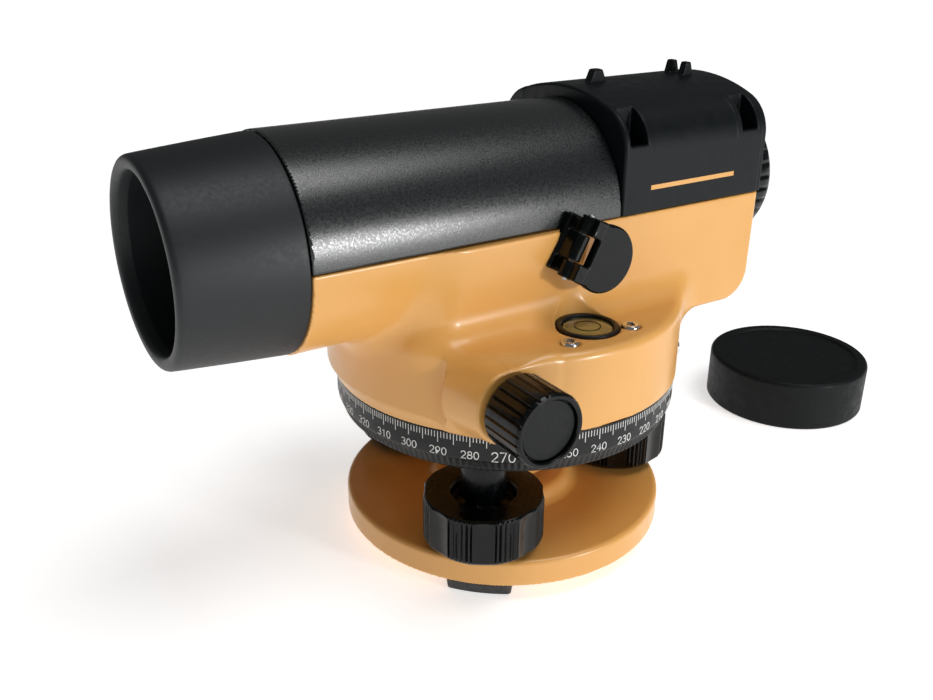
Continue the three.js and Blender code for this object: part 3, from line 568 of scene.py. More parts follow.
def foot_plate_field(x, y, z):
    """A hub with three arms, each under a foot screw."""
    radial = np.hypot(x, y)
    body = radial - 24
    for _, angle, _, _ in screw_spots():
        forward = x * math.cos(angle) + y * math.sin(angle)
        across = -x * math.sin(angle) + y * math.cos(angle)
        body = f_join(body, f_meet(np.abs(across) - 10, -forward, 0.5), 5)
    rim = (radial - (49.7 + 2.5 * z / FOOT_PLATE_TOP)) * 0.91
    body = f_meet(body, rim, 1.0)
    body = f_meet(body, f_slab(z, 0, FOOT_PLATE_TOP), 0.5)
    return f_cut(body, radial - BASE_BORE_R, 0.4)


def base_plate_field(x, y, z):
    """A round plate with a low cone in the middle."""
    radial = np.hypot(x, y)
    body = f_meet(f_meet(radial - 53.4, z - 14.7, 1.5), BASE_BOTTOM - z, 0.6)
    cone = (radial - (22.3 + 0.6 * (BASE_TOP - z))) * 0.85
    body = f_join(body, f_meet(f_meet(cone, z - BASE_TOP, 1.2), BASE_BOTTOM - z), 1.6)
    for _, _, sx, sy in screw_spots():
        body = f_cut(body, np.hypot(x - sx, y - sy) - 5, 0.5)
    return f_cut(body, f_rod(x, y, z, BASE_BORE_R, 0, 16.5, 0), 0.3)


cast("foot_plate_casting", foot_plate_field, (-54, -54, 0), (54, 54, FOOT_PLATE_TOP), 0.7, FOOT, "foot_plate")
cast("base_plate_casting", base_plate_field, (-54, -54, BASE_BOTTOM), (54, 54, BASE_TOP), 0.75, ORANGE,
     "base_plate")


def threaded(pitch, depth):
    """A thread: a radius that rises and falls along a helix."""
    def shape(angle, r, h):
        phase = (h / pitch - angle / (2 * math.pi)) % 1
        return r - depth * abs(2 * phase - 1)
    return shape


def thread_profile(radius, low, high, pitch):
    """Profile points of a thread, four to a turn."""
    count = max(2, int((high - low) / pitch * 4))
    return [(radius, low + (high - low) * i / count) for i in range(count + 1)]


insert_bore = thread_profile(INSERT_THREAD_R, 1.4, 15.6, INSERT_PITCH)[::-1]
insert_thread = threaded(INSERT_PITCH, 0.65)
turned_piece("tripod_thread_bush", [
    (10, 0.4, 0.3), (11, 0.4, 0.3), (11, 16.2, 0.3), (INSERT_THREAD_R, 16.2), *insert_bore, (9.4, 0.4),
], upright(0, 0), BRASS, "tripod_thread_insert",
    shape=lambda a, r, h: insert_thread(a, r, h) if abs(r - INSERT_THREAD_R) < 0.01 else r)


# ---- Foot screws --------------------------------------------------------------------------

def foot_knob_shape(angle, r, h):
    """Eight smooth scallops with a group of four ribs between each two."""
    if r < FOOT_KNOB_CORE_R:
        return r
    t = (angle / math.radians(45)) % 1
    edge = min(1.0, (r - FOOT_KNOB_CORE_R) / 3)
    middle = min(1.0, max(0.0, min(h - 17.9, 32.7 - h) / 1.2))
    if t < 0.5:
        return r - edge * 0.85 * math.sin(math.pi * t / 0.5) * (0.35 + 0.65 * middle)
    ribs = 0.5 - 0.5 * math.cos(2 * math.pi * 5 * (t - 0.5) / 0.5)
    return r - edge * 0.65 * (1 - ribs) ** 1.5 * middle


spindle_thread = threaded(SPINDLE_PITCH, 0.3)
for where, _, sx, sy in screw_spots():
    turned_piece(f"foot_knob_{where}", [
        (3.9, 17.4), (9, 17.4, 0.4), (9.6, 18.4, 0.4), (14.6, 18.4, 0.4), (15.4, 17.4, 0.5),
        (17.4, 17.4, 0.8), (18.6, 18.6, 0.8), (18.7, 19.6), (18.7, 23), (18.7, 27), (18.7, 30.8),
        (18.65, 32.2, 0.6), (18.0, 33, 0.8), (10.4, 33, 0.7), (9.6, 32, 0.8), (9.5, 28.6, 0.4), (3.9, 28.6),
    ], upright(sx, sy), GLOSS, f"foot_screw_knob_{where}", segments=384, shape=foot_knob_shape)
    ball = [(BALL_R * math.cos(math.radians(a)), BALL_Z + BALL_R * math.sin(math.radians(a)))
            for a in range(-80, 41, 20)]
    turned_piece(f"foot_spindle_{where}", [
        (0, 6.2), *ball, (3.2, 14.4), (3.2, 15.2), (5.6, 15.3, 0.3), (6, 15.7, 0.2), (6, 17.1, 0.3),
        (SPINDLE_R, 17.1), *thread_profile(SPINDLE_R, SPINDLE_THREAD_Z, 42, SPINDLE_PITCH),
        (2.6, 43), (0, 43),
    ], upright(sx, sy), STEEL, f"foot_screw_spindle_{where}", segments=48,
        shape=lambda a, r, h: spindle_thread(a, r, h) if h >= SPINDLE_THREAD_Z and r > 3.5 else r)
    turned_piece(f"foot_sleeve_{where}", [
        (5.3, 31), (6.5, 31, 0.5), (7.2, 31.9, 0.6), (7.2, 45.5, 0.3), (5.3, 45.5),
    ], upright(sx, sy), GLOSS, f"foot_screw_sleeve_{where}")


# ---- Tribrach -----------------------------------------------------------------------------

def tribrach_field(x, y, z):
    """A disc with a hub, a collar inside the ring, and three holes for the sleeves."""
    radial = np.hypot(x, y)
    underside = (radial - 46.6 - 2.5 * (z - 43.5)) * 0.37
    body = f_meet(f_meet(radial - 50.6, underside, 0.3), f_slab(z, 43.5, 45.9), 0.3)
    body = f_join(body, f_meet(radial - 46, f_slab(z, 44, 57.5), 0.5), 0.2)
    body = f_join(body, f_meet(radial - 18, f_slab(z, 22, 45), 1.5), 5)
    body = f_join(body, f_meet(radial - 20, f_slab(z, 50, 62), 0.8), 1.0)
    for _, _, sx, sy in screw_spots():
        body = f_cut(body, f_meet(np.hypot(x - sx, y - sy) - 7.6, z - 45.7), 0.2)
    return f_cut(body, f_rod(x, y, z, 12.3, 43.5, 70, 0), 0.3)


cast("tribrach_casting", tribrach_field, (-52, -52, 22), (52, 52, 62), 0.9, ORANGE, "tribrach_body")


# ---- Degree ring --------------------------------------------------------------------------

RIBS = 180


def ring_shape(angle, r, h):
    """Fine grip ribs round the lower part of the rim."""
    low, high = RING_BOTTOM + 0.5, RING_BOTTOM + 3.9
    if r < 52 or not low < h < high:
        return r
    wave = 0.5 - 0.5 * math.cos(RIBS * angle)
    fade = min(1.0, (h - low) / 0.5, (high - h) / 0.5)
    return r - 0.45 * wave * fade


lower_rim = [(53.6 + 1.3 * i / 8, RING_BOTTOM + 0.45 + 3.5 * i / 8) for i in range(9)]
turned_piece("degree_ring_rim", [
    (46.6, RING_BOTTOM, 0.2), (53.2, RING_BOTTOM, 0.3), *lower_rim, (54.95, RING_BOTTOM + 4.1),
    (RING_R - 0.05, RING_BOTTOM + 4.5, 0.2), (RING_R - 0.05, RING_TOP, 0.25), (46.6, RING_TOP, 0.2),
], upright(0, 0), RING, "degree_ring", segments=RIBS * 6, shape=ring_shape, sharp=50)


def stroke(path, width, cap=5):
    """The outline of a flat ribbon of even width with round ends along a 2-D path."""
    pts = [Vector(p) for p in path]
    left, right = [], []
    for i, p in enumerate(pts):
        ahead = pts[min(i + 1, len(pts) - 1)] - pts[max(i - 1, 0)]
        side = Vector((-ahead.y, ahead.x)).normalized() * width / 2
        left.append(p + side)
        right.append(p - side)

    def rounded(centre, start):
        arm = start - centre
        return [centre + Matrix.Rotation(-math.pi * k / cap, 2) @ arm for k in range(1, cap)]

    return left + rounded(pts[-1], left[-1]) + right[::-1] + rounded(pts[0], right[0])


def arc(cx, cy, rx, ry, start, end, steps=10):
    """Points along part of an ellipse, angles in degrees."""
    out = []
    for i in range(steps + 1):
        a = math.radians(start + (end - start) * i / steps)
        out.append((cx + rx * math.cos(a), cy + ry * math.sin(a)))
    return out


# Digits in a box 0.6 wide and 1 high, each a list of strokes.
DIGITS = {
    "0": [arc(0.3, 0.5, 0.3, 0.5, 90, 450, 20)],
    "1": [[(0.12, 0.8), (0.34, 1.0), (0.34, 0.0)]],
    "2": [arc(0.3, 0.72, 0.28, 0.28, 165, -35) + [(0.02, 0.0), (0.6, 0.0)]],
    "3": [arc(0.28, 0.75, 0.26, 0.25, 150, -90), arc(0.28, 0.26, 0.3, 0.26, 90, -150)],
    "4": [[(0.46, 0.0), (0.46, 1.0), (0.0, 0.3), (0.62, 0.3)]],
    "5": [[(0.55, 1.0), (0.12, 1.0), (0.06, 0.55)] + arc(0.28, 0.32, 0.31, 0.32, 135, -150)],
    "6": [[(0.48, 1.0), (0.1, 0.5)] + arc(0.3, 0.3, 0.28, 0.3, 150, -210, 16)],
    "7": [[(0.0, 1.0), (0.58, 1.0), (0.2, 0.0)]],
    "8": [arc(0.3, 0.76, 0.24, 0.24, -90, 270, 16), arc(0.3, 0.26, 0.3, 0.26, 90, 450, 16)],
    "9": [arc(0.3, 0.7, 0.28, 0.3, -30, 330, 16) + [(0.12, 0.0)]],
}
SCALE_TURN = -35.3
TICK_HALF_WIDTH = 0.105
TICK_LENGTH, FIFTH_TICK_LENGTH = 1.9, 3.4
DIGIT_HEIGHT, BIG_DIGIT_HEIGHT = 2.3, 3.0
DIGIT_RISE, BIG_DIGIT_RISE = 4.5, 4.1


def mark_angle(degrees):
    """Where a reading sits on the ring. Readings grow clockwise seen from above."""
    return math.radians(-90.0 + SCALE_TURN + (270.0 - degrees))


def degree_marks():
    """Ticks and numbers as one thin mesh wrapped round the ring."""
    verts, faces = [], []
    radius = RING_R + 0.02

    def add(outline, centre, depth=0.05):
        """A flat outline (along the rim, up) wrapped on to the ring as a thin raised plate."""
        start = len(verts)
        for lift in (-0.12, depth):
            for u, v in outline:
                a = centre + u / RING_R
                verts.append(((radius + lift) * math.cos(a), (radius + lift) * math.sin(a), v))
        n = len(outline)
        faces.append(tuple(range(start + n, start + 2 * n)))
        faces.append(tuple(range(start + n - 1, start - 1, -1)))
        for k in range(n):
            m = (k + 1) % n
            faces.append((start + k, start + m, start + n + m, start + n + k))

    top = RING_TOP - 0.55
    for reading in range(360):
        foot = top - (FIFTH_TICK_LENGTH if reading % 5 == 0 else TICK_LENGTH)
        left, right = -TICK_HALF_WIDTH, TICK_HALF_WIDTH
        add([(left, foot), (right, foot), (right, top), (left, top)], mark_angle(reading))
    for reading in range(0, 360, 10):
        big = reading % 90 == 0
        height = BIG_DIGIT_HEIGHT if big else DIGIT_HEIGHT
        bottom = RING_BOTTOM + (BIG_DIGIT_RISE if big else DIGIT_RISE)
        text = str(reading)
        advance = 0.82 * height
        width = advance * (len(text) - 1) + 0.6 * height
        for i, digit in enumerate(text):
            left = -width / 2 + i * advance
            for path in DIGITS[digit]:
                placed = [(left + px * height, bottom + py * height) for px, py in path]
                add(stroke(placed, 0.085 * height + 0.05), mark_angle(reading))
    return verts, faces


marks_verts, marks_faces = degree_marks()
piece("degree_marks", marks_verts, marks_faces, WHITE, body="scale", slot="degree_ring_black", sharp=30)


# ---- Main housing -------------------------------------------------------------------------

def tangent_boss_field(x, y, z):
    """Round, drafted bosses that carry the tangent shaft, with a flat top."""
    depth = TANGENT_BOSS_Y - np.abs(y)
    cone = (np.hypot(x - WORM_X, z - WORM_Z) - TANGENT_BOSS_R - TANGENT_BOSS_DRAFT * depth) * 0.985
    body = f_join(cone, f_slab(x, WORM_X - 2, WORM_X + 14))
    body = f_meet(body, z - TANGENT_BOSS_TOP, 1.5)
    body = f_meet(body, -depth, 0.9)
    return f_meet(f_meet(body, 36 - np.abs(y)), DRUM_BOTTOM - z, 0.4)


def housing_field(x, y, z):
    """Drum, neck, half tube and rear box as one casting, with the bosses of the two knobs."""
    radial = np.hypot(x, y)
    drum = f_meet(f_meet(radial - DRUM_R, z - DECK_Z, 2.8), DRUM_BOTTOM - z, 0.4)
    taper = DRUM_R - 3.3 * (z - 60) / (SEAM_Z - 60)
    neck = f_meet(f_meet(radial - taper, np.abs(y) - TUBE_R, 5), x - 4)
    neck = f_meet(neck, 66 - z)
    tube = f_meet(np.hypot(y, z - AXIS_Z) - TUBE_R, f_slab(x, TUBE_FRONT_X, 10), 0.3)
    slant = REAR_X - 0.012 * (SEAM_Z - z)
    rear = f_meet(f_meet(x - slant, REAR_FLOOR_Z - z, 10), -x)
    rear = f_meet(rear, np.abs(y) - TUBE_R, 2.4)
    body = f_join(f_join(tube, neck, 7), rear)
    drum = f_join(drum, tangent_boss_field(x, y, z), 3.5)
    focus_boss = f_rod(x - FOCUS_X, z - FOCUS_Z, y, 9, 28, FOCUS_BOSS_Y, 0.8)
    body = f_join(body, focus_boss, 2)
    body = f_join(drum, body, 8.5)
    body = f_meet(body, z - SEAM_Z, 0.45)
    return housing_hollows(body, x, y, z, radial)


def housing_hollows(body, x, y, z, radial):
    """Cuts the rooms, bores, vial seat and screw holes."""
    cavity = f_meet(radial - (DRUM_R - 3.4), z - 76.2, 1.5)
    cavity = f_join(cavity, f_meet(radial - 24, z - 79.7))
    body = f_cut(body, cavity, 0.4)
    bore = f_meet(np.hypot(y, z - AXIS_Z) - TUBE_BORE, x - REAR_WALL_X, 0)
    room = f_box(x, y, z, (8, -27.4, 86), (REAR_WALL_X, 27.4, 120), 2)
    body = f_cut(body, f_join(bore, room), 0.4)
    body = f_cut(body, f_meet(np.hypot(y, z - AXIS_Z) - 12, REAR_WALL_X - 2 - x), 0.3)
    body = f_cut(body, np.hypot(x - WORM_X, z - WORM_Z) - 4.8, 0.3)
    body = f_cut(body, f_meet(np.hypot(x - FOCUS_X, z - FOCUS_Z) - 3.4, 20 - y), 0.3)
    body = f_cut(body, f_meet(np.hypot(x - VIAL.x, y - VIAL.y) - 9.5, DECK_Z - 5.5 - z), 0.5)
    px, py = VIAL_SCREWS[2]
    pocket = f_meet(np.hypot(x - px, y - py) - 3.6, z - DECK_Z - 1.9, 0.8)
    body = f_cut(body, f_meet(pocket, DECK_Z - 0.1 - z), 0.8)
    for sx, sy in VIAL_SCREWS:
        body = f_cut(body, f_meet(np.hypot(x - sx, y - sy) - 2.9, f_slab(z, DECK_Z - 3, DECK_Z + 1)), 0.35)
    cos, sin = math.cos(SIDE_SCREW_ANGLE), math.sin(SIDE_SCREW_ANGLE)
    forward, across = x * cos + y * sin, -x * sin + y * cos
    return f_cut(body, f_meet(np.hypot(across, z - SIDE_SCREW_Z) - 1.8, 45 - forward), 0.2)


cast("housing_casting", housing_field, (-80.5, -53, 58.5), (79, 53, 111), 0.65, ORANGE, "main_housing")


# ---- Top half of the telescope tube --------------------------------------------------------

def shell_field(x, y, z):
    """Half a pipe above the seam."""
    r = np.hypot(y, z - AXIS_Z)
    body = f_meet(f_slab(r, TUBE_BORE, TUBE_R), f_slab(x, TUBE_FRONT_X, COVER_FRONT_X - 0.3), 0.35)
    return f_meet(body, SEAM_Z + 0.3 - z, 0.35)


cast("tube_top_casting", shell_field, (-80.5, -31, 110.5), (19.5, 31, 141.5), 0.7, TUBE_BLACK,
     "tube_top_shell")


# ---- Rear cover ---------------------------------------------------------------------------

def cover_section(y, z):
    """Distance to the cover's cross-section: straight sides, round shoulders, flatter crown."""
    shoulder_y = TUBE_R - COVER_SHOULDER_R
    rise = COVER_CROWN_Z - COVER_SHOULDER_Z
    crown = (shoulder_y ** 2 + rise ** 2 - COVER_SHOULDER_R ** 2) / (2 * (rise - COVER_SHOULDER_R))
    centre_z = COVER_CROWN_Z - crown
    side = np.abs(y)
    slope_limit = (COVER_SHOULDER_Z - centre_z) / shoulder_y
    on_crown = (z - centre_z) > slope_limit * side
    on_shoulder = np.hypot(side - shoulder_y, z - COVER_SHOULDER_Z) - COVER_SHOULDER_R
    out = np.where(on_crown, np.hypot(side, z - centre_z) - crown, on_shoulder)
    return np.where((z < COVER_SHOULDER_Z) & ~on_crown, side - TUBE_R, out)


def sight(x, y, z, cx, cy, length, width, top):
    """A sight post that narrows upwards."""
    climb = (z - COVER_CROWN_Z) / (top - COVER_CROWN_Z)
    half = length / 2 - length / 4 * np.clip(climb, 0, 1)
    body = f_meet((np.abs(x - cx) - half) * 0.9, np.abs(y - cy) - width / 2, 0.35)
    return f_meet(body, f_slab(z, COVER_CROWN_Z - 1.5, top), 0.35)


def cover_field(x, y, z):
    """A shell with sight posts, and four wells down to the cover screws."""
    section = cover_section(y, z)
    bottom = SEAM_Z + 0.3 - z
    solid = f_meet(f_meet(section, f_slab(x, COVER_FRONT_X, REAR_X), 0.9), bottom, 0.3)
    inside = f_meet(section + COVER_WALL, f_slab(x, COVER_FRONT_X + COVER_WALL, REAR_WALL_X), 1.0)
    body = f_cut(solid, inside)
    for cx in WELL_X:
        column = f_meet(np.abs(x - cx) - WELL_HALF - 2, WELL_BACK_Y - 2 - np.abs(y), 0.5)
        body = f_join(body, f_meet(column, solid), 0.5)
    body = f_join(body, sight(x, y, z, 32.2, 0, 6.5, 3.0, 148.8), 0.5)
    for cy in (-3.2, 3.2):
        body = f_join(body, sight(x, y, z, 67.6, cy, 4.4, 2.6, 149.0), 0.5)
    for cx in WELL_X:
        well = f_meet(f_meet(np.abs(x - cx) - WELL_HALF, WELL_BACK_Y - np.abs(y), 0.8), WELL_FLOOR_Z - z, 0.4)
        body = f_cut(body, well, 0.45)
        seat = f_meet(np.abs(x - cx) - 3.1, f_slab(np.abs(y), WELL_BACK_Y + 0.2, TUBE_R - 2.2), 0.6)
        body = f_cut(body, f_meet(seat, f_slab(z, WELL_SEAT_Z, WELL_FLOOR_Z + 1), 0.3), 0.3)
        shank = f_meet(np.hypot(x - cx, np.abs(y) - WELL_SCREW_Y) - 1.8, 114 - z)
        body = f_cut(body, shank, 0.1)
    light = f_meet(np.hypot(y, z - AXIS_Z) - (TUBE_BORE - 0.3), x - 30)
    body = f_cut(body, light, 0.3)
    return f_cut(body, f_meet(np.hypot(y, z - AXIS_Z) - 12, 70 - x), 0.3)


cast("rear_cover_moulding", cover_field, (19.3, -31, 110.6), (79, 31, 149.2), 0.42, COVER_BLACK, "rear_cover")


def stripe():
    """A plain line on each side of the rear cover, a paint film 0.04 mm thick."""
    verts, faces = [], []
    low, high = (24.5, 117.4), (73.5, 118.8)
    for side in (-1, 1):
        near, far = side * (TUBE_R - 0.05), side * (TUBE_R + 0.04)
        start = len(verts)
        for y in (near, far):
            verts += [(low[0], y, low[1]), (high[0], y, low[1]), (high[0], y, high[1]), (low[0], y, high[1])]
        for quad in ((0, 1, 2, 3), (4, 5, 6, 7), (0, 1, 5, 4), (1, 2, 6, 5), (2, 3, 7, 6), (3, 0, 4, 7)):
            faces.append([start + q for q in quad])
    return verts, faces


piece("cover_stripe", *stripe(), ORANGE, body="alidade", slot="orange_paint", sharp=30)


# ---- Screws -------------------------------------------------------------------------------

def socket_shape(size):
    """Makes the small radii of a profile six-sided, for a hexagon socket."""
    def shape(angle, r, h):
        if r > size * 1.01:
            return r
        side = (angle + math.pi / 6) % (math.pi / 3) - math.pi / 6
        return r * math.cos(math.pi / 6) / math.cos(side)
    return shape


def cap_screw(head, top, low, shank, socket, depth):
    """Profile of a socket screw, from its tip up to the bottom of the socket."""
    return [(0, low), (shank, low, 0.2), (shank, top - 2.3), (head - 0.1, top - 2.3, 0.1), (head, top - 2.1),
            (head, top - 0.35), (head - 0.35, top, 0.15), (socket + 0.25, top), (socket, top - 0.2),
            (socket, top - depth), (0, top - depth)]


for row, cx in zip(("front", "rear"), WELL_X):
    for side, sign in (("left", -1), ("right", 1)):
        turned_piece(f"cover_bolt_{row}_{side}", cap_screw(2.7, WELL_SEAT_Z + 2.6, 115, 1.5, 1.4, 1.2),
                     upright(cx, WELL_SCREW_Y * sign), SCREW_BLACK, f"cover_screw_{row}_{side}", segments=48,
                     shape=socket_shape(1.4))

for index, (sx, sy) in enumerate(VIAL_SCREWS, 1):
    turned_piece(f"vial_screw_{index}", [
        (0, DECK_Z - 2.6), (2.6, DECK_Z - 2.6, 0.1), (2.6, DECK_Z + 0.2), (2.3, DECK_Z + 0.6, 0.2),
        (1.6, DECK_Z + 0.7), (1.35, DECK_Z + 0.5), (1.35, DECK_Z - 0.6), (0, DECK_Z - 0.6),
    ], upright(sx, sy), CHROME, f"vial_adjusting_screw_{index}", segments=48, shape=socket_shape(1.35))

side_screw_at = (Matrix.Translation((0, 0, SIDE_SCREW_Z)) @ Matrix.Rotation(SIDE_SCREW_ANGLE, 4, "Z")
                 @ Matrix.Rotation(math.pi / 2, 4, "Y"))
turned_piece("drum_side_bolt", [
    (0, 51), (1.5, 51), (1.5, 55.9), (2.4, 55.9, 0.1), (2.4, 56.9, 0.5), (1.9, 57.5, 0.3), (1.15, 57.5),
    (1.0, 57.3), (1.0, 56.5), (0, 56.5),
], side_screw_at, CHROME, "drum_side_screw", segments=48, shape=socket_shape(1.0))


# ---- Objective end ------------------------------------------------------------------------

turned_piece("objective_hood_sleeve", [
    (23.4, -109.6, 2.2), (24.1, -113.5, 2.0), (27.7, -113.5, 2.2), (28.1, -109.4), (29.2, -96), (30.2, -82.2),
    (30.2, -80.6, 0.5), (24, -80.6, 0.3), (24, -88, 0.2), (21.8, -88, 0.3), (22.2, -91), (22.6, -93.6, 0.2),
    (23.0, -93.9, 0.2), (23.6, -101),
], along_x(), HOOD, "objective_hood", segments=160, steps=6)

cell_steps = [(17.6 + 0.35 * (i % 2), -87.0 + 0.35 * i) for i in range(3, -1, -1)]
turned_piece("objective_cell_barrel", [
    (18.4, -87.6, 0.2), (23.7, -87.6, 0.3), (23.7, -80.2), (27.5, -79.9, 0.2), (27.5, -71, 0.3),
    (19, -71, 0.2), (19, -73.2), (20.4, -73.2), (20.4, -85.6), *cell_steps,
], along_x(), ANODISED, "objective_cell", segments=96)

turned_piece("crown_lens", [
    (0, -85.2), (5, -85.05), (10, -84.5), (15, -83.6), (20, -82.2), (20, -79.6), (15, -78.9), (10, -78.3),
    (5, -77.95), (0, -77.8),
], along_x(), GLASS, "objective_crown_lens", sharp=60)
turned_piece("flint_lens", [
    (0, -77.4), (5, -77.5), (10, -77.8), (15, -78.4), (20, -79.2), (20, -74.2), (0, -74.2),
], along_x(), GLASS, "objective_flint_lens", sharp=60)


# ---- Fluted knobs -------------------------------------------------------------------------

def flute_shape(count, depth, body_radius, low, high, width=0.3):
    """Narrow grooves cut along a knob's rim between two heights."""
    def shape(angle, r, h):
        if r < body_radius - 1.2 or h < low or h > high:
            return r
        t = (angle * count / (2 * math.pi)) % 1
        groove = max(0.0, 1 - abs(t - 0.5) / (width / 2)) ** 0.6
        fade = min(1.0, (h - low) / 0.4, (high - h) / 0.4)
        return r - depth * groove * max(0.0, fade)
    return shape


for side, sign in (("left", -1), ("right", 1)):
    turned_piece(f"tangent_grip_{side}", [
        (3.3, 51.7), (8, 51.7, 0.3), (10.2, 51.9, 0.6), (10.8, 53, 0.5), (10.8, 55), (10.8, 59), (10.8, 63),
        (10.8, 66.2), (10.75, 66.8, 0.3), (10.2, 67.7, 0.4), (9.3, 67.7, 0.3), (8.95, 67.3, 0.2), (8.9, 65.5),
        (3.3, 65.5),
    ], along_y(WORM_X, WORM_Z, sign), GLOSS, f"tangent_knob_{side}", segments=288,
        shape=flute_shape(24, 0.5, 10.8, 52.6, 67.2))
    turned_piece(f"tangent_face_{side}", [
        (0, 65.8), (8.6, 65.8), (8.6, 66.4, 0.2), (8.3, 66.6, 0.15), (0, 66.6),
    ], along_y(WORM_X, WORM_Z, sign), DISC, f"tangent_knob_cap_{side}")

turned_piece("focus_grip", [
    (3.3, 37), (9.5, 37, 0.4), (12.2, 37.6, 0.8), (13, 39, 0.6), (13, 41), (13, 45), (13, 48.6), (12.9, 49.4),
    (12.2, 51, 0.9), (10.6, 51, 0.3), (10.2, 50.6, 0.2), (0, 50.6), (0, 49.3), (3.3, 49.3),
], along_y(FOCUS_X, FOCUS_Z), GLOSS, "focus_knob", segments=336, shape=flute_shape(28, 0.55, 13, 38.2, 49.8))


# ---- Eyepiece -----------------------------------------------------------------------------

turned_piece("eyepiece_grip", [
    (12, 79.2), (21.5, 79.2, 0.5), (23.6, 80, 0.8), (24.2, 81.4, 0.5), (24.2, 84), (24.2, 88), (24.1, 90.2),
    (23.2, 92, 1.1), (21.4, 92, 0.6), (20.6, 90.6, 0.5), (19.4, 86, 0.8), (16, 85.6, 0.8), (15, 88.6, 0.6),
    (12.6, 89.2, 0.3), (12, 88.4),
], along_x(), GLOSS, "eyepiece_ring", segments=360, shape=flute_shape(36, 0.6, 24.2, 80.2, 91.2, 0.42))

turned_piece("eyepiece_barrel", [
    (10, 66), (11.7, 66, 0.2), (11.7, 86.6, 0.3), (10, 86.6),
], along_x(), ANODISED, "eyepiece_tube")
turned_piece("ocular_barrel", [
    (7.4, 73), (9.2, 73, 0.2), (9.2, 90, 0.5), (8.2, 90, 0.4), (7.4, 88.4, 0.3),
], along_x(), ANODISED, "ocular_cell")
turned_piece("ocular_glass", [
    (0, 83), (3.5, 83.15), (7.1, 83.6), (7.1, 85.6), (5, 86.2), (2.5, 86.65), (0, 86.8),
], along_x(), GLASS, "ocular_lens", sharp=60)


# ---- Circular vial ------------------------------------------------------------------------

turned_piece("vial_frame", [
    (7.6, DECK_Z - 5.2), (9.2, DECK_Z - 5.2), (9.2, DECK_Z + 0.2, 0.2), (8.9, DECK_Z + 0.6, 0.25),
    (8.0, DECK_Z + 0.6, 0.2), (7.6, DECK_Z + 0.2),
], upright(VIAL.x, VIAL.y), RING, "circular_vial_ring")
turned_piece("vial_dome", [
    (0, DECK_Z - 5), (7.3, DECK_Z - 5), (7.3, DECK_Z - 0.2, 0.2), (5, DECK_Z + 0.05), (2.5, DECK_Z + 0.16),
    (0, DECK_Z + 0.2),
], upright(VIAL.x, VIAL.y), FLUID, "circular_vial_glass", sharp=60)


CIRCLE_R, CIRCLE_WIDTH, CIRCLE_THICKNESS = 3.6, 0.35, 0.08
circle_z = DECK_Z + 0.14
circle_verts, circle_faces = turned([
    (CIRCLE_R, circle_z), (CIRCLE_R + CIRCLE_WIDTH, circle_z),
    (CIRCLE_R + CIRCLE_WIDTH, circle_z + CIRCLE_THICKNESS), (CIRCLE_R, circle_z + CIRCLE_THICKNESS),
], 64)
piece("vial_circle", moved(circle_verts, upright(VIAL.x, VIAL.y)), circle_faces, RING, body="alidade",
      slot="vial_frame", sharp=30)


# ---- Bubble mirror ------------------------------------------------------------------------

HINGE = Matrix.Translation(HINGE_AT) @ Matrix.Rotation(HINGE_LEAN, 4, "Y")
HINGE_BACK = HINGE.inverted()
HINGE_BARREL_R, HINGE_HOLE_R = 2.3, 1.3
INNER_KNUCKLE, OUTER_KNUCKLE = 3.9, (4.3, 9.2)


def on_hinge(field):
    """The field of a shape that is written with the hinge line on its own Z axis."""
    def world(x, y, z):
        return field(*(row[0] * x + row[1] * y + row[2] * z + row[3] for row in HINGE_BACK[:3]))
    return world


def mirror_disc(x, z, radius, edge):
    """The recess of the mirror glass, with one straight edge."""
    return f_meet(np.hypot(x - FLAP_X, z) - radius, edge - x, 0.8)


@on_hinge
def flap_field(x, y, z):
    """The folding hood: a disc with two arms and hinge barrels."""
    height = np.abs(z)
    strip = f_meet(f_slab(x, 2.2, FLAP_X - 3.4), height - 9.4, 0.5)
    plan = f_join(np.hypot(x - FLAP_X, z) - 10, strip)
    plan = f_cut(plan, f_meet(x - 2.9, height - 4.1, 0.4), 0.2)
    body = f_meet(plan, f_slab(y, -4.6, -1.6), 0.7)
    arm = f_meet(f_meet(f_slab(x, -0.5, 3), f_slab(y, -4.6, -0.5), 0.5), f_slab(height, *OUTER_KNUCKLE), 0.4)
    barrel = f_meet(np.hypot(x, y) - HINGE_BARREL_R, f_slab(height, *OUTER_KNUCKLE), 0.35)
    body = f_join(f_join(body, arm, 0.4), barrel, 0.5)
    body = f_cut(body, f_meet(mirror_disc(x, z, 8.6, 6.2), -3.2 - y), 0.2)
    return f_cut(body, np.hypot(x, y) - HINGE_HOLE_R, 0.15)


@on_hinge
def bracket_field(x, y, z):
    """The fixed leaf: a plate, a lug and the middle knuckle."""
    plate = f_box(x, y, z, (-3.4, 4.2, -8.5), (3.4, 6.6, 8.5), 0.9)
    lug = f_meet(np.abs(x) - 2.3, f_meet(f_slab(y, 0, 5), np.abs(z) - INNER_KNUCKLE, 0.2), 0.3)
    knuckle = f_meet(np.hypot(x, y) - HINGE_BARREL_R, np.abs(z) - INNER_KNUCKLE, 0.35)
    body = f_join(f_join(plate, lug, 0.8), knuckle, 0.2)
    return f_cut(body, np.hypot(x, y) - HINGE_HOLE_R, 0.15)


def around_node(node, margin=0.2):
    """A CAD node's box, a little larger."""
    low, high = node_mm(node)
    return [v - margin for v in low], [v + margin for v in high]


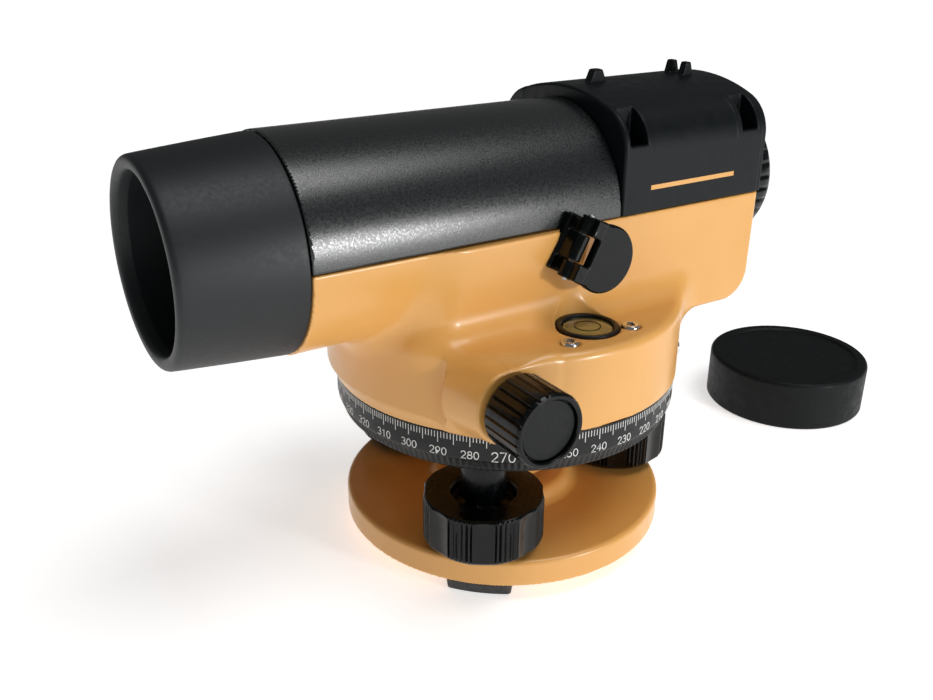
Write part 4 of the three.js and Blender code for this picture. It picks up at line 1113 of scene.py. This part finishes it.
cast("mirror_hood", flap_field, *around_node("mirror_flap"), 0.3, GLOSS, "mirror_flap")
cast("mirror_hinge_leaf", bracket_field, *around_node("mirror_bracket"), 0.3, GLOSS, "mirror_bracket")
pin_profile = [(0, -9.9), (0.75, -9.9, 0.2), (0.9, -9.6), (0.9, 9.6), (0.75, 9.9, 0.2), (0, 9.9)]
pin_verts, pin_faces = turned(pin_profile, 32)
piece("mirror_hinge_rod", moved(pin_verts, HINGE), pin_faces, STEEL, "mirror_hinge_pin")


# ---- Lens cap -----------------------------------------------------------------------------

cap_low, cap_high = node_mm("lens_cap")
cap_x, cap_y = (cap_low.x + cap_high.x) / 2, (cap_low.y + cap_high.y) / 2
cap_top = cap_high.z
turned_piece("lens_cap_moulding", [
    (0, cap_top - 3.2), (29.9, cap_top - 3.2, 0.8), (29.9, 0.6, 0.4), (30.4, 0, 0.3), (31.8, 0, 0.4),
    (32.4, 0.8, 0.5), (32.4, cap_top - 4, 0.2), (32.4, cap_top, 3.2), (28.1, cap_top, 0.4),
    (27.3, cap_top - 0.7, 0.3), (0, cap_top - 0.7),
], upright(cap_x, cap_y), CAP, "lens_cap", segments=192, steps=8)


# ---- Inner pieces keep their CAD shape and get their finish --------------------------------

for node, made in frame["nodes"].items():
    made.material_slots[0].material = SLOT_MATERIALS[SLOT_OF[node]]


# ---- Camera, floor and light ---------------------------------------------------------------

def camera():
    """The photo's camera, worked out from the round and straight features it shows."""
    data = bpy.data.cameras.new("camera")
    data.sensor_width = 36
    data.lens = 38.195
    data.clip_start = 0.01
    made = bpy.data.objects.new("camera", data)
    bpy.context.scene.collection.objects.link(made)
    yaw, pitch, roll = math.radians(33.319), math.radians(23.785), math.radians(0.472)
    look = Vector((math.sin(yaw) * math.cos(pitch), math.cos(yaw) * math.cos(pitch), -math.sin(pitch)))
    level_right = Vector((math.cos(yaw), -math.sin(yaw), 0))
    level_up = level_right.cross(look)
    right = level_right * math.cos(roll) + level_up * math.sin(roll)
    up = level_up * math.cos(roll) - level_right * math.sin(roll)
    turn = Matrix((right, up, -look)).transposed().to_4x4()
    made.matrix_world = Matrix.Translation(Vector((-174.85, -243.05, 192.57)) * MM) @ turn
    bpy.context.scene.camera = made


def area_light(name, at_mm, target_mm, size_mm, watts):
    """A white rectangular lamp aimed at a point."""
    data = bpy.data.lights.new(name, "AREA")
    data.shape = "RECTANGLE"
    data.size, data.size_y = size_mm[0] * MM, size_mm[1] * MM
    data.energy = watts
    made = bpy.data.objects.new(name, data)
    at, target = Vector(at_mm) * MM, Vector(target_mm) * MM
    made.location = at
    made.rotation_euler = (target - at).to_track_quat("-Z", "Y").to_euler()
    bpy.context.scene.collection.objects.link(made)


def studio():
    """A white floor, a dim world, a soft sun, a side lamp, and a small one for the tube's highlight."""
    mesh = bpy.data.meshes.new("floor")
    reach = 4.0
    corners = [(-reach, -reach, 0), (reach, -reach, 0), (reach, reach, 0), (-reach, reach, 0)]
    mesh.from_pydata(corners, [], [(0, 1, 2, 3)])
    f = Finish("floor_white", (250, 250, 250), 0.9, Emission_Color=(1, 1, 1, 1), Emission_Strength=0.6)
    f.vary_colour(f.noise(300, detail=2), 0.3, 0.7, (246, 246, 247), 0.5)
    mesh.materials.append(f.material)
    floor = bpy.data.objects.new("floor", mesh)
    bpy.context.scene.collection.objects.link(floor)
    world = bpy.data.worlds.new("studio")
    world.use_nodes = True
    world.node_tree.nodes["Background"].inputs["Color"].default_value = (1, 1, 1, 1)
    world.node_tree.nodes["Background"].inputs["Strength"].default_value = 0.14
    bpy.context.scene.world = world
    sun = bpy.data.lights.new("sun", "SUN")
    sun.energy = 1.05
    sun.angle = math.radians(30)
    lamp = bpy.data.objects.new("sun", sun)
    lamp.rotation_euler = Vector((-0.2, 0.25, -0.9)).to_track_quat("-Z", "Y").to_euler()
    bpy.context.scene.collection.objects.link(lamp)
    area_light("side_softbox", (250, -760, 150), target_mm=(10, 0, 90), size_mm=(260, 170), watts=0.6)
    area_light("kicker", (290, -830, 205), target_mm=(-40, 0, 100), size_mm=(110, 60), watts=2.6)


camera()
studio()
bpy.context.scene.view_settings.view_transform = "Standard"
